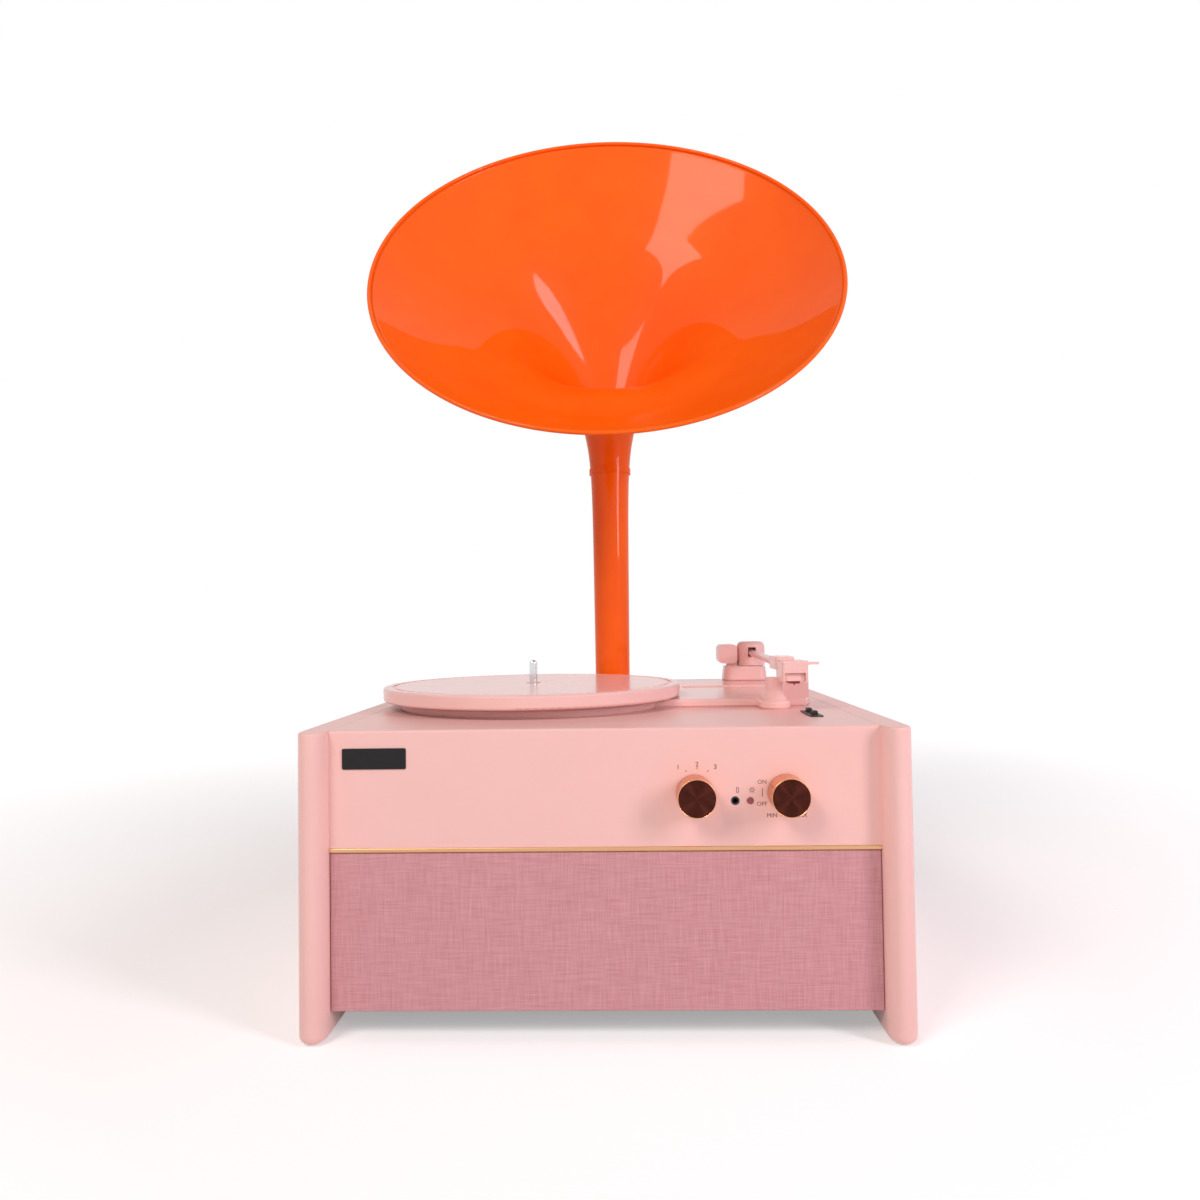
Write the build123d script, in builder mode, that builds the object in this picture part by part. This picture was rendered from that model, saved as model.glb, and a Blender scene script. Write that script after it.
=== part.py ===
from build123d import *
from math import cos, exp, radians, sin, tan
import os

os.makedirs("parts", exist_ok=True)

# A table-top record player with a horn.
# X runs to the right, Y to the back and Z up. The origin is on the floor,
# in the middle of the cabinet's footprint. All sizes are in millimetres.

# Cabinet
cabinet_width = 420.0
cabinet_depth = 400.0
cabinet_height = 212.0
side_thickness = 20.4
nose_depth = 12.7
board_thickness = 12.0
front_board = 9.3
leg_gap = 19.0
pad_thickness = 1.5
pad_radius = 7.0
side_foot_round = 5.0
edge_round = 1.8

# Front
strip_bottom = 128.0
strip_height = 3.0
strip_proud = 0.8
cloth_thickness = 1.0
cloth_setback = 0.3
grille_margin = 0.4

# Loudspeakers
speaker_spacing = 200.0
speaker_hole = 38.0
speaker_flange = 48.0
speaker_depth = 40.0
magnet_radius = 30.0
magnet_height = 14.0

# Controls on the front
knob_radius = 13.0
knob_length = 19.0
knob_gap = 0.8
knob_edge = 1.0
selector_x = 63.2
volume_x = 125.5
control_z = 166.8
shaft_radius = 3.0
shaft_depth = 12.0
bush_radius = 4.5
pot_radius = 9.0
pot_depth = 10.0
running = 0.05
lamp_x = 100.9
jack_x = 90.7
small_control_z = 161.7
lamp_radius = 2.4
jack_radius = 1.8
jack_depth = 14.0

# Platter and its drive
platter_x = -65.4
platter_y = -9.9
platter_radius = 130.9
platter_top = 231.0
platter_web = 3.0
rim_height = 11.4
rim_wall = 5.0
rim_round = 2.0
drive_ring_radius = 75.0
drive_ring_wall = 3.0
hub_radius = 11.0
recess_radius = 6.5
recess_depth = 1.5
ring_radii = [34.0, 52.0, 90.0, 122.0]
ring_height = 0.8
ring_width = 3.0
spindle_radius = 3.575
bearing_shaft_radius = 4.0
spindle_height = 20.7
bearing_radius = 8.0
bearing_depth = 22.0
pulley_radius = 6.0
pulley_flange = 1.2
pulley_height = 6.0
pulley_distance = 95.0
pulley_angle = 225.0
motor_radius = 17.0
motor_height = 24.0
motor_shaft = 1.2
belt_width = 4.0
belt_thickness = 0.8
belt_clearance = 0.2

# Deck plate
plate_thickness = 6.8
plate_undercut = 1.3
plate_round = 2.0
plate_lobe = 116.0
plate_front = -55.0
plate_back = 192.0
plate_right = 177.0
plate_left = 40.0
plate_slant = 9.0
tray_left = 74.0
tray_right = 168.0
tray_front = 12.0
tray_back = 92.0
tray_corner = 8.0
tray_depth = 1.0

# Tonearm
pivot_x = 156.5
pivot_y = 172.0
tower_width = 48.0
tower_depth = 34.0
tower_corner = 10.0
tower_top = 234.5
cap_radius = 15.2
cap_gap = 0.5
cap_top = 261.0
cap_round = 6.0
housing_width = 20.6
housing_depth = 24.0
housing_bottom = 237.5
housing_top = 258.1
housing_round = 5.0
housing_gap = 1.0
housing_edge = 2.0
arm_z = 248.5
arm_radius = 3.6
hub_width = 10.0
arm_hub_radius = 6.0
arm_lift = 8.0
slot_gap = 0.3
pin_radius = 1.5
stalk_radius = 4.5
stalk_gap = 0.5
shell_x = 149.6
shell_y = -93.5
shell_width = 20.6
shell_length = 24.5
shell_bottom = 236.0
shell_top = 252.5
shell_window = 7.0
shell_wall = 2.2
neck_x = 146.0
neck_width = 15.7
neck_length = 28.0
neck_height = 10.2
neck_skirt = 0.4
stylus_tip = 233.1
lift_length = 12.0
lift_width = 5.0
lift_root = 11.0

# Arm rest
rest_x = 139.5
rest_y = -69.0
rest_radius = 7.1
rest_foot_radius = 10.0
rest_foot_height = 4.0
rest_margin = 2.5
rest_gap = 0.6
post_top = 237.7
ledge_height = 6.0
cradle_left = 141.0
cradle_right = 171.0
cradle_front = -53.0
cradle_back = -43.0
cheek_width = 5.0
cheek_top = 250.0

# Slide switches on the deck
switch_x = 159.5
switch_y = -115.0
bezel_width = 10.0
bezel_length = 38.0
bezel_height = 1.0
slider_spacing = 19.0
slider_width = 4.0
slider_length = 6.0
slider_height = 3.0
slide_travel = 3.5
switch_body_height = 7.0

# Horn
horn_x = 4.0
horn_y = 145.0
mouth_radius = 225.0
mouth_height = 627.0
mouth_reach = 110.3
horn_tilt = 33.3
bend_length = 140.0
bore_radius = 16.6
tube_growth = 2.5
growth_length = 430.0
brim_width = 40.0
brim_length = 40.0
funnel_length = 105.0
horn_wall = 1.8
seam_height = 447.0
lip_radius = 1.9
ring_overlap = 6.0
socket_radius = 24.0
socket_flange = 31.0
socket_height = 14.0

# Sizes that follow
front = -cabinet_depth / 2
back = cabinet_depth / 2
side_inner = cabinet_width / 2 - side_thickness
inner_width = 2 * side_inner
panel_face = front + nose_depth
panel_back = panel_face + front_board
deck = cabinet_height
plate_top = deck + plate_thickness
floor_top = leg_gap + board_thickness
roof = cabinet_height - board_thickness
strip_top = strip_bottom + strip_height
back_face = back - board_thickness
speaker_z = (floor_top + strip_bottom) / 2


def save(piece, name):
    """Labels a finished piece and writes its STEP file."""
    piece.part.label = name
    export_step(piece.part, f"parts/{name}.step")


def upright(x, y):
    """A plane at (x, y) for profiles: its own x is the radius, its own y is the height."""
    return Plane((x, y, 0), x_dir=(1, 0, 0), z_dir=(0, -1, 0))


def vertical_axis(x, y):
    """The axis that an upright profile turns about."""
    return Axis((x, y, 0), (0, 0, 1))


def facing(y):
    """A plane that faces the front at depth y, with X to the right and Z up."""
    return Plane((0, y, 0), x_dir=(1, 0, 0), z_dir=(0, -1, 0))


# Side panels with rounded front edges that run to the floor as legs
def side_panel(side):
    middle = side * (side_inner + side_thickness / 2)
    with BuildPart() as panel:
        with BuildSketch(Plane.XY.offset(pad_thickness)):
            with Locations((middle, nose_depth / 2)):
                Rectangle(side_thickness, cabinet_depth - nose_depth)
            with Locations((middle, panel_face)):
                Ellipse(side_thickness / 2, nose_depth)
        extrude(amount=cabinet_height - pad_thickness)
        fillet(panel.faces().sort_by(Axis.Z)[0].edges(), side_foot_round)
        outer = panel.faces().sort_by(Axis.Z)[-1].edges()
        outer = outer.filter_by(lambda edge: side * edge.center().X > side_inner + 1)
        fillet(outer, edge_round)
    return panel


for side, word in [(-1, "left"), (1, "right")]:
    save(side_panel(side), f"side_panel_{word}")

# Four thin pads under the side panels
with BuildPart() as foot_pads:
    with BuildSketch():
        spread_x = 2 * side_inner + side_thickness
        spread_y = cabinet_depth - 4 * side_thickness
        with GridLocations(spread_x, spread_y, 2, 2):
            Circle(min(pad_radius, side_thickness / 2 - side_foot_round))
    extrude(amount=pad_thickness)
save(foot_pads, "foot_pads")

# Top panel with openings for the drive, the arm, the horn and the slide switches
motor_x = platter_x + pulley_distance * cos(radians(pulley_angle))
motor_y = platter_y + pulley_distance * sin(radians(pulley_angle))
slot_width = slider_width + 1.0
slot_length = slider_length + 2 * slide_travel + 1.0
with BuildPart() as top_panel:
    with BuildSketch(Plane.XY.offset(roof)):
        with Locations((0, (panel_back + back) / 2)):
            Rectangle(inner_width, back - panel_back)
        with Locations((motor_x, motor_y)):
            Circle(motor_radius + 1.5, mode=Mode.SUBTRACT)
        with Locations((platter_x, platter_y)):
            Circle(bearing_radius + 2.0, mode=Mode.SUBTRACT)
        with Locations((horn_x, horn_y)):
            Circle(bore_radius, mode=Mode.SUBTRACT)
        with Locations((pivot_x, pivot_y)):
            Circle(arm_hub_radius, mode=Mode.SUBTRACT)
        with Locations((switch_x, switch_y)), GridLocations(0, slider_spacing, 1, 2):
            Rectangle(slot_width, slot_length, mode=Mode.SUBTRACT)
    extrude(amount=board_thickness)
save(top_panel, "top_panel")

# Bottom panel
with BuildPart() as bottom_panel:
    with BuildSketch(Plane.XY.offset(leg_gap)):
        with Locations((0, (panel_back + back_face) / 2)):
            Rectangle(inner_width, back_face - panel_back)
    extrude(amount=board_thickness)
save(bottom_panel, "bottom_panel")

# Front panel with a rounded top edge and holes for the controls
with BuildPart() as front_panel:
    with BuildSketch(facing(panel_back)):
        with Locations((0, (strip_top + deck) / 2)):
            Rectangle(inner_width, deck - strip_top)
        with Locations((selector_x, control_z), (volume_x, control_z)):
            Circle(bush_radius, mode=Mode.SUBTRACT)
        with Locations((lamp_x, small_control_z)):
            Circle(lamp_radius, mode=Mode.SUBTRACT)
        with Locations((jack_x, small_control_z)):
            Circle(jack_radius + 1.2, mode=Mode.SUBTRACT)
    extrude(amount=front_board)
    top_front = front_panel.edges().filter_by(Axis.X).group_by(Axis.Z)[-1].sort_by(Axis.Y)[0]
    fillet(top_front, edge_round)
save(front_panel, "front_panel")

# Brass strip between the front panel and the cloth
with BuildPart() as brass_strip:
    with BuildSketch(facing(panel_back)):
        with Locations((0, strip_bottom + strip_height / 2)):
            Rectangle(inner_width, strip_height)
    extrude(amount=front_board + strip_proud)
    fillet(brass_strip.faces().sort_by(Axis.Y)[0].edges().filter_by(Axis.X), strip_height / 4)
save(brass_strip, "brass_strip")

# Cloth over a board with two round openings, in front of the loudspeakers
cloth_face = panel_face + cloth_setback
grille_face = cloth_face + cloth_thickness
grille_width = inner_width - 2 * grille_margin
grille_low = leg_gap + grille_margin
grille_high = strip_bottom - grille_margin
with BuildPart() as speaker_cloth:
    with BuildSketch(facing(grille_face)):
        with Locations((0, (grille_low + grille_high) / 2)):
            Rectangle(grille_width, grille_high - grille_low)
    extrude(amount=cloth_thickness)
save(speaker_cloth, "speaker_cloth")

with BuildPart() as grille_board:
    with BuildSketch(facing(panel_back)):
        with Locations((0, (grille_low + grille_high) / 2)):
            Rectangle(grille_width, grille_high - grille_low)
        with Locations((0, speaker_z)), GridLocations(speaker_spacing, 0, 2, 1):
            Circle(speaker_hole, mode=Mode.SUBTRACT)
    extrude(amount=panel_back - grille_face)
save(grille_board, "grille_board")

# Baffle that carries the loudspeakers
baffle_back = panel_back + board_thickness
with BuildPart() as speaker_baffle:
    with BuildSketch(facing(baffle_back)):
        with Locations((0, (floor_top + strip_top) / 2)):
            Rectangle(inner_width, strip_top - floor_top)
        with Locations((0, speaker_z)), GridLocations(speaker_spacing, 0, 2, 1):
            Circle(speaker_hole, mode=Mode.SUBTRACT)
    extrude(amount=board_thickness)
save(speaker_baffle, "speaker_baffle")


# Loudspeakers: a dished frame, a paper cone and a magnet, turned about the cone's axis
def turned_speaker(plane, axis, points):
    """Turns a closed profile of (radius, depth) points about a loudspeaker's axis."""
    with BuildPart() as piece:
        with BuildSketch(plane):
            with BuildLine():
                Polyline(*points, close=True)
            make_face()
        revolve(axis=axis)
    return piece


def save_speaker(plane, axis, hole, flange, word):
    """Makes the frame, cone and magnet of one loudspeaker."""
    sheet = 1.5
    neck = magnet_radius * 0.8
    frame_points = [
        (hole, 0),
        (flange, 0),
        (flange, sheet),
        (hole + sheet, sheet),
        (neck + sheet, speaker_depth),
        (neck, speaker_depth),
    ]
    save(turned_speaker(plane, axis, frame_points), f"speaker_frame_{word}")
    cone_edge = hole - 2 * sheet
    cap = hole * 0.35
    cone_points = [
        (0, speaker_depth * 0.3),
        (cap, speaker_depth * 0.45),
        (cone_edge, sheet),
        (hole - sheet / 2, sheet / 3),
        (hole - sheet / 2, sheet * 0.6),
        (cone_edge, sheet * 2),
        (cap, speaker_depth * 0.5),
        (cap, speaker_depth),
        (0, speaker_depth),
    ]
    save(turned_speaker(plane, axis, cone_points), f"speaker_cone_{word}")
    top = speaker_depth + magnet_height
    magnet_points = [(0, speaker_depth), (magnet_radius, speaker_depth), (magnet_radius, top), (0, top)]
    save(turned_speaker(plane, axis, magnet_points), f"speaker_magnet_{word}")


for side, word in [(-1, "left"), (1, "right")]:
    centre = (side * speaker_spacing / 2, baffle_back, speaker_z)
    save_speaker(Plane(centre), Axis(centre, (0, 1, 0)), speaker_hole, speaker_flange, word)

# The third loudspeaker hangs under the top panel and feeds the horn
horn_centre = (horn_x, horn_y, roof)
horn_plane = Plane(horn_centre, x_dir=(1, 0, 0), z_dir=(0, 1, 0))
save_speaker(horn_plane, Axis(horn_centre, (0, 0, -1)), bore_radius + 14, bore_radius + 22, "horn")

# Back panel with a recess for the connector plate
jack_plate_width = 96.0
jack_plate_height = 36.0
jack_plate_x = 90.0
jack_plate_z = 70.0
jack_plate_thickness = 2.0
socket_depth = 9.0
rca_radius = 4.15
rca_body_radius = 5.0
rca_bore = 1.6
rca_length = 8.3
rca_spacing = 18.0
usb_width = 13.2
usb_height = 5.8
inlet_radius = 2.8
inlet_boss = 4.4
rca_x = jack_plate_x + 27.0
usb_x = jack_plate_x
inlet_x = jack_plate_x - 30.0
with BuildPart() as back_panel:
    with BuildSketch(facing(back)):
        with Locations((0, (leg_gap + roof) / 2)):
            Rectangle(inner_width, roof - leg_gap)
    extrude(amount=board_thickness)
    with BuildSketch(facing(back)):
        with Locations((jack_plate_x, jack_plate_z)):
            Rectangle(jack_plate_width - 12, jack_plate_height - 12)
    extrude(amount=board_thickness, mode=Mode.SUBTRACT)
    with BuildSketch(facing(back)):
        with Locations((jack_plate_x, jack_plate_z)):
            Rectangle(jack_plate_width, jack_plate_height)
    extrude(amount=jack_plate_thickness, mode=Mode.SUBTRACT)
save(back_panel, "back_panel")

with BuildPart() as jack_plate:
    with BuildSketch(facing(back)):
        with Locations((jack_plate_x, jack_plate_z)):
            RectangleRounded(jack_plate_width, jack_plate_height, 1.0)
        with Locations((rca_x, jack_plate_z)), GridLocations(rca_spacing, 0, 2, 1):
            Circle(rca_body_radius, mode=Mode.SUBTRACT)
        with Locations((usb_x, jack_plate_z)):
            Rectangle(usb_width, usb_height, mode=Mode.SUBTRACT)
        with Locations((inlet_x, jack_plate_z)):
            Circle(inlet_boss, mode=Mode.SUBTRACT)
    extrude(amount=jack_plate_thickness)
save(jack_plate, "jack_plate")

with BuildPart() as rca_jacks:
    with BuildSketch(facing(back + rca_length - jack_plate_thickness)):
        with Locations((rca_x, jack_plate_z)), GridLocations(rca_spacing, 0, 2, 1):
            Circle(rca_radius)
    extrude(amount=rca_length - jack_plate_thickness)
    with BuildSketch(facing(back)):
        with Locations((rca_x, jack_plate_z)), GridLocations(rca_spacing, 0, 2, 1):
            Circle(rca_body_radius)
    extrude(amount=jack_plate_thickness + socket_depth)
    with BuildSketch(facing(back + rca_length - jack_plate_thickness)):
        with Locations((rca_x, jack_plate_z)), GridLocations(rca_spacing, 0, 2, 1):
            Circle(rca_bore)
    extrude(amount=rca_length + 4, mode=Mode.SUBTRACT)
save(rca_jacks, "rca_jacks")

with BuildPart() as usb_socket:
    with BuildSketch(facing(back)):
        with Locations((usb_x, jack_plate_z)):
            Rectangle(usb_width, usb_height)
    extrude(amount=socket_depth + 4)
    with BuildSketch(facing(back)):
        with Locations((usb_x, jack_plate_z)):
            Rectangle(usb_width - 1, usb_height - 1)
    extrude(amount=socket_depth, mode=Mode.SUBTRACT)
    with BuildSketch(facing(back)):
        with Locations((usb_x, jack_plate_z + 1.0)):
            Rectangle(usb_width - 2.4, 1.6)
    extrude(amount=socket_depth + 1)
save(usb_socket, "usb_socket")

with BuildPart() as power_inlet:
    with BuildSketch(facing(back)):
        with Locations((inlet_x, jack_plate_z)):
            Circle(inlet_boss)
    extrude(amount=socket_depth + 4)
    with BuildSketch(facing(back)):
        with Locations((inlet_x, jack_plate_z)):
            Circle(inlet_radius)
    extrude(amount=socket_depth, mode=Mode.SUBTRACT)
    with BuildSketch(facing(back - 1.0)):
        with Locations((inlet_x, jack_plate_z)):
            Circle(1.0)
    extrude(amount=socket_depth)
save(power_inlet, "power_inlet")

# Front controls: switch bodies behind the panel, shafts and turned brass knobs
for name, x in [("source_switch", selector_x), ("volume_control", volume_x)]:
    with BuildPart() as body:
        with BuildSketch(facing(panel_back + pot_depth)):
            with Locations((x, control_z)):
                Circle(pot_radius)
        extrude(amount=pot_depth)
        with BuildSketch(facing(panel_back)):
            with Locations((x, control_z)):
                Circle(bush_radius)
        extrude(amount=front_board)
        with BuildSketch(facing(panel_back + pot_depth - 2.0)):
            with Locations((x, control_z)):
                Circle(shaft_radius + running)
        extrude(amount=pot_depth + front_board, mode=Mode.SUBTRACT)
    save(body, name)

for name, x in [("source", selector_x), ("volume", volume_x)]:
    with BuildPart() as shaft:
        with BuildSketch(facing(panel_back + pot_depth - 2.4)):
            with Locations((x, control_z)):
                Circle(shaft_radius)
        extrude(amount=pot_depth - 2.4 + front_board + knob_gap + shaft_depth)
    save(shaft, f"{name}_shaft")
    knob_back = panel_face - knob_gap
    with BuildPart() as knob:
        with BuildSketch(facing(knob_back)):
            with Locations((x, control_z)):
                Circle(knob_radius)
        extrude(amount=knob_length - knob_gap)
        chamfer(knob.faces().sort_by(Axis.Y)[0].edges(), knob_edge * 0.6)
        fillet(knob.faces().sort_by(Axis.Y)[-1].edges(), knob_edge * 0.5)
        with BuildSketch(facing(knob_back)):
            with Locations((x, control_z)):
                Circle(shaft_radius)
        extrude(amount=shaft_depth, mode=Mode.SUBTRACT)
    save(knob, f"{name}_knob")

# Signal lamp and front jack
with BuildPart() as signal_lamp:
    with BuildSketch(facing(panel_back)):
        with Locations((lamp_x, small_control_z)):
            Circle(lamp_radius)
    extrude(amount=front_board + 0.8)
    fillet(signal_lamp.faces().sort_by(Axis.Y)[0].edges(), lamp_radius * 0.3)
save(signal_lamp, "signal_lamp")

with BuildPart() as front_jack:
    with BuildSketch(facing(panel_back + 6.0)):
        with Locations((jack_x, small_control_z)):
            Circle(jack_radius + 1.2)
    extrude(amount=front_board + 6.0)
    with BuildSketch(facing(panel_face + jack_depth)):
        with Locations((jack_x, small_control_z)):
            Circle(jack_radius)
    extrude(amount=jack_depth, mode=Mode.SUBTRACT)
save(front_jack, "front_jack")

# Boards on the floor of the cabinet: amplifier with heat sink, and mains transformer
board_width = 130.0
board_depth = 80.0
sheet = 1.6
post_height = 6.0
post_radius = 3.5
board_y = 40.0
board_x = 60.0
sink_width = 60.0
sink_height = 24.0
fin_count = 7
fin_thickness = 1.6
with BuildPart() as board_posts:
    with BuildSketch(Plane.XY.offset(floor_top)):
        with Locations((board_x, board_y)), GridLocations(board_width - 12, board_depth - 12, 2, 2):
            Circle(post_radius)
    extrude(amount=post_height)
save(board_posts, "board_posts")

board_low = floor_top + post_height
with BuildPart() as amplifier_board:
    with BuildSketch(Plane.XY.offset(board_low)):
        with Locations((board_x, board_y)):
            Rectangle(board_width, board_depth)
    extrude(amount=sheet)
    with BuildSketch(Plane.XY.offset(board_low + sheet)):
        with Locations((board_x - 35, board_y + 22)), GridLocations(16, 0, 3, 1):
            Circle(5.0)
    extrude(amount=14.0)
save(amplifier_board, "amplifier_board")

with BuildPart() as heat_sink:
    with BuildSketch(Plane.XY.offset(board_low + sheet)):
        with Locations((board_x + 10, board_y - 18)):
            Rectangle(sink_width, 26)
    extrude(amount=3.0)
    with BuildSketch(Plane.XY.offset(board_low + sheet + 3.0)):
        pitch = (sink_width - fin_thickness) / (fin_count - 1)
        with Locations((board_x + 10, board_y - 18)), GridLocations(pitch, 0, fin_count, 1):
            Rectangle(fin_thickness, 26)
    extrude(amount=sink_height - 3.0)
save(heat_sink, "heat_sink")

core_x = -95.0
core_y = 60.0
core_width = 54.0
core_depth = 30.0
core_height = 45.0
coil_margin = 9.0
with BuildPart() as transformer_core:
    with BuildSketch(Plane.XY.offset(floor_top)):
        with Locations((core_x, core_y)):
            Rectangle(core_width, core_depth)
    extrude(amount=core_height)
    with BuildSketch(facing(core_y + core_depth / 2)):
        with Locations((core_x, floor_top + core_height / 2)), GridLocations(core_width / 2, 0, 2, 1):
            Rectangle(core_width / 4, core_height - 2 * coil_margin)
    extrude(amount=core_depth, mode=Mode.SUBTRACT)
save(transformer_core, "transformer_core")

with BuildPart() as transformer_coil:
    with BuildSketch(Plane.XY.offset(floor_top + coil_margin)):
        with Locations((core_x, core_y)):
            Rectangle(core_width * 0.75, core_depth + 2 * coil_margin)
            Rectangle(core_width / 4, core_depth, mode=Mode.SUBTRACT)
    extrude(amount=core_height - 2 * coil_margin)
save(transformer_coil, "transformer_coil")

# Deck plate: a round lobe under the platter and a straight-sided wing for the arm
motor_hole = 4.0


def deck_outline(inset):
    """The plate's outline, moved inwards by an inset."""
    with BuildSketch() as outline:
        with BuildLine():
            Polyline(
                (plate_left - 60, plate_front + inset),
                (plate_right - plate_slant - inset, plate_front + inset),
                (plate_right - inset, plate_front + 3 * plate_slant),
                (plate_right - inset, plate_back - inset),
                (plate_left + inset, plate_back - inset),
                (plate_left + inset, platter_y + plate_lobe * 0.4),
                (plate_left - 60, platter_y),
                close=True,
            )
        make_face()
        with Locations((platter_x, platter_y)):
            Circle(plate_lobe - inset)
        with Locations((rest_x, rest_y)):
            Circle(rest_foot_radius + rest_margin - inset)
        with Locations((rest_x, (rest_y + plate_front) / 2 + rest_margin)):
            Rectangle(2 * (rest_foot_radius + rest_margin - inset), plate_front - rest_y + 2 * rest_margin)
    return outline.sketch


with BuildPart() as deck_plate:
    with BuildSketch(Plane.XY.offset(deck)):
        add(deck_outline(plate_undercut))
    extrude(amount=plate_undercut)
    with BuildSketch(Plane.XY.offset(deck + plate_undercut)):
        add(deck_outline(0))
    extrude(amount=plate_thickness - plate_undercut)
    fillet(deck_plate.faces().sort_by(Axis.Z)[-1].edges(), plate_round)
    with BuildSketch(Plane.XY.offset(deck)):
        with Locations((platter_x, platter_y)):
            Circle(bearing_radius)
        with Locations((motor_x, motor_y)):
            Circle(motor_hole)
        with Locations((pivot_x, pivot_y)):
            Circle(stalk_radius + stalk_gap)
    extrude(amount=plate_thickness, mode=Mode.SUBTRACT)
    with BuildSketch(Plane.XY.offset(plate_top)):
        with Locations(((tray_left + tray_right) / 2, (tray_front + tray_back) / 2)):
            RectangleRounded(tray_right - tray_left, tray_back - tray_front, tray_corner)
    extrude(amount=-tray_depth, mode=Mode.SUBTRACT)
save(deck_plate, "deck_plate")

# Platter: a dished disc with a hanging rim, moulded rings and a drive ring below
web_low = platter_top - platter_web
rim_low = platter_top - rim_height
hub_low = plate_top + 1.2
ring_low = plate_top + 2.0
with BuildPart() as platter:
    with BuildSketch(upright(platter_x, platter_y)):
        with BuildLine():
            Polyline(
                (0, hub_low),
                (hub_radius, hub_low),
                (hub_radius, web_low),
                (drive_ring_radius - drive_ring_wall, web_low),
                (drive_ring_radius - drive_ring_wall, ring_low),
                (drive_ring_radius, ring_low),
                (drive_ring_radius, web_low),
                (platter_radius - rim_wall, web_low),
                (platter_radius - rim_wall, rim_low),
                (platter_radius, rim_low),
                (platter_radius, platter_top),
                (0, platter_top),
                close=True,
            )
        make_face()
    revolve(axis=vertical_axis(platter_x, platter_y))
    rim_edges = platter.edges().filter_by(GeomType.CIRCLE)
    rim_edges = rim_edges.filter_by(lambda edge: abs(edge.radius - platter_radius) < 0.01)
    fillet(rim_edges, rim_round)
    with BuildSketch(Plane.XY.offset(platter_top)):
        with Locations((platter_x, platter_y)):
            for radius in ring_radii:
                Circle(radius + ring_width / 2)
                Circle(radius - ring_width / 2, mode=Mode.SUBTRACT)
    extrude(amount=-ring_height, mode=Mode.SUBTRACT)
    with BuildSketch(Plane.XY.offset(platter_top - recess_depth)):
        with Locations((platter_x, platter_y)):
            Circle(recess_radius)
    extrude(amount=recess_depth, mode=Mode.SUBTRACT)
    with BuildSketch(Plane.XY.offset(hub_low)):
        with Locations((platter_x, platter_y)):
            Circle(bearing_shaft_radius)
    extrude(amount=platter_top - hub_low, mode=Mode.SUBTRACT)
save(platter, "platter")

# Spindle, pressed into the platter and turning in the bearing
spindle_low = deck - bearing_depth + 3
spindle_tip = platter_top + spindle_height
with BuildPart() as spindle:
    with BuildSketch(Plane.XY.offset(spindle_low)):
        with Locations((platter_x, platter_y)):
            Circle(bearing_shaft_radius)
    extrude(amount=platter_top - recess_depth - spindle_low)
    with BuildSketch(Plane.XY.offset(platter_top - recess_depth)):
        with Locations((platter_x, platter_y)):
            Circle(spindle_radius)
    extrude(amount=spindle_height + recess_depth)
    fillet(spindle.faces().sort_by(Axis.Z)[-1].edges(), spindle_radius * 0.9)
save(spindle, "spindle")

with BuildPart() as platter_bearing:
    with BuildSketch(upright(platter_x, platter_y)):
        with BuildLine():
            low = deck - bearing_depth
            seat = spindle_low - 0.3
            bore = bearing_shaft_radius + running
            Polyline(
                (0, low),
                (bearing_radius, low),
                (bearing_radius, hub_low - 0.3),
                (bore, hub_low - 0.3),
                (bore, seat),
                (0, seat),
                close=True,
            )
        make_face()
    revolve(axis=vertical_axis(platter_x, platter_y))
save(platter_bearing, "platter_bearing")

# Motor under the plate, its pulley above, and the belt round the drive ring
pulley_low = ring_low - 0.2
with BuildPart() as motor:
    with BuildSketch(Plane.XY.offset(deck - motor_height)):
        with Locations((motor_x, motor_y)):
            Circle(motor_radius)
            Circle(motor_shaft + running, mode=Mode.SUBTRACT)
    extrude(amount=motor_height)
    fillet(motor.faces().sort_by(Axis.Z)[0].edges().sort_by(SortBy.RADIUS)[-1], 2.0)
save(motor, "motor")

with BuildPart() as motor_pulley:
    with BuildSketch(upright(motor_x, motor_y)):
        with BuildLine():
            wide = pulley_radius + pulley_flange
            high = pulley_low + pulley_height
            Polyline(
                (0, deck - motor_height + 4),
                (motor_shaft, deck - motor_height + 4),
                (motor_shaft, pulley_low),
                (wide, pulley_low),
                (pulley_radius, pulley_low + 0.8),
                (pulley_radius, high - 0.8),
                (wide, high),
                (0, high),
                close=True,
            )
        make_face()
    revolve(axis=vertical_axis(motor_x, motor_y))
save(motor_pulley, "motor_pulley")

belt_low = pulley_low + (pulley_height - belt_width) / 2
with BuildPart() as drive_belt:
    with BuildSketch(Plane.XY.offset(belt_low)):
        with BuildSketch(mode=Mode.PRIVATE) as outside:
            with Locations((platter_x, platter_y)):
                Circle(drive_ring_radius + belt_clearance + belt_thickness)
            with Locations((motor_x, motor_y)):
                Circle(pulley_radius + belt_clearance + belt_thickness)
            make_hull()
        with BuildSketch(mode=Mode.PRIVATE) as inside:
            with Locations((platter_x, platter_y)):
                Circle(drive_ring_radius + belt_clearance)
            with Locations((motor_x, motor_y)):
                Circle(pulley_radius + belt_clearance)
            make_hull()
        add(outside.sketch)
        add(inside.sketch, mode=Mode.SUBTRACT)
    extrude(amount=belt_width)
save(drive_belt, "drive_belt")

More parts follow.
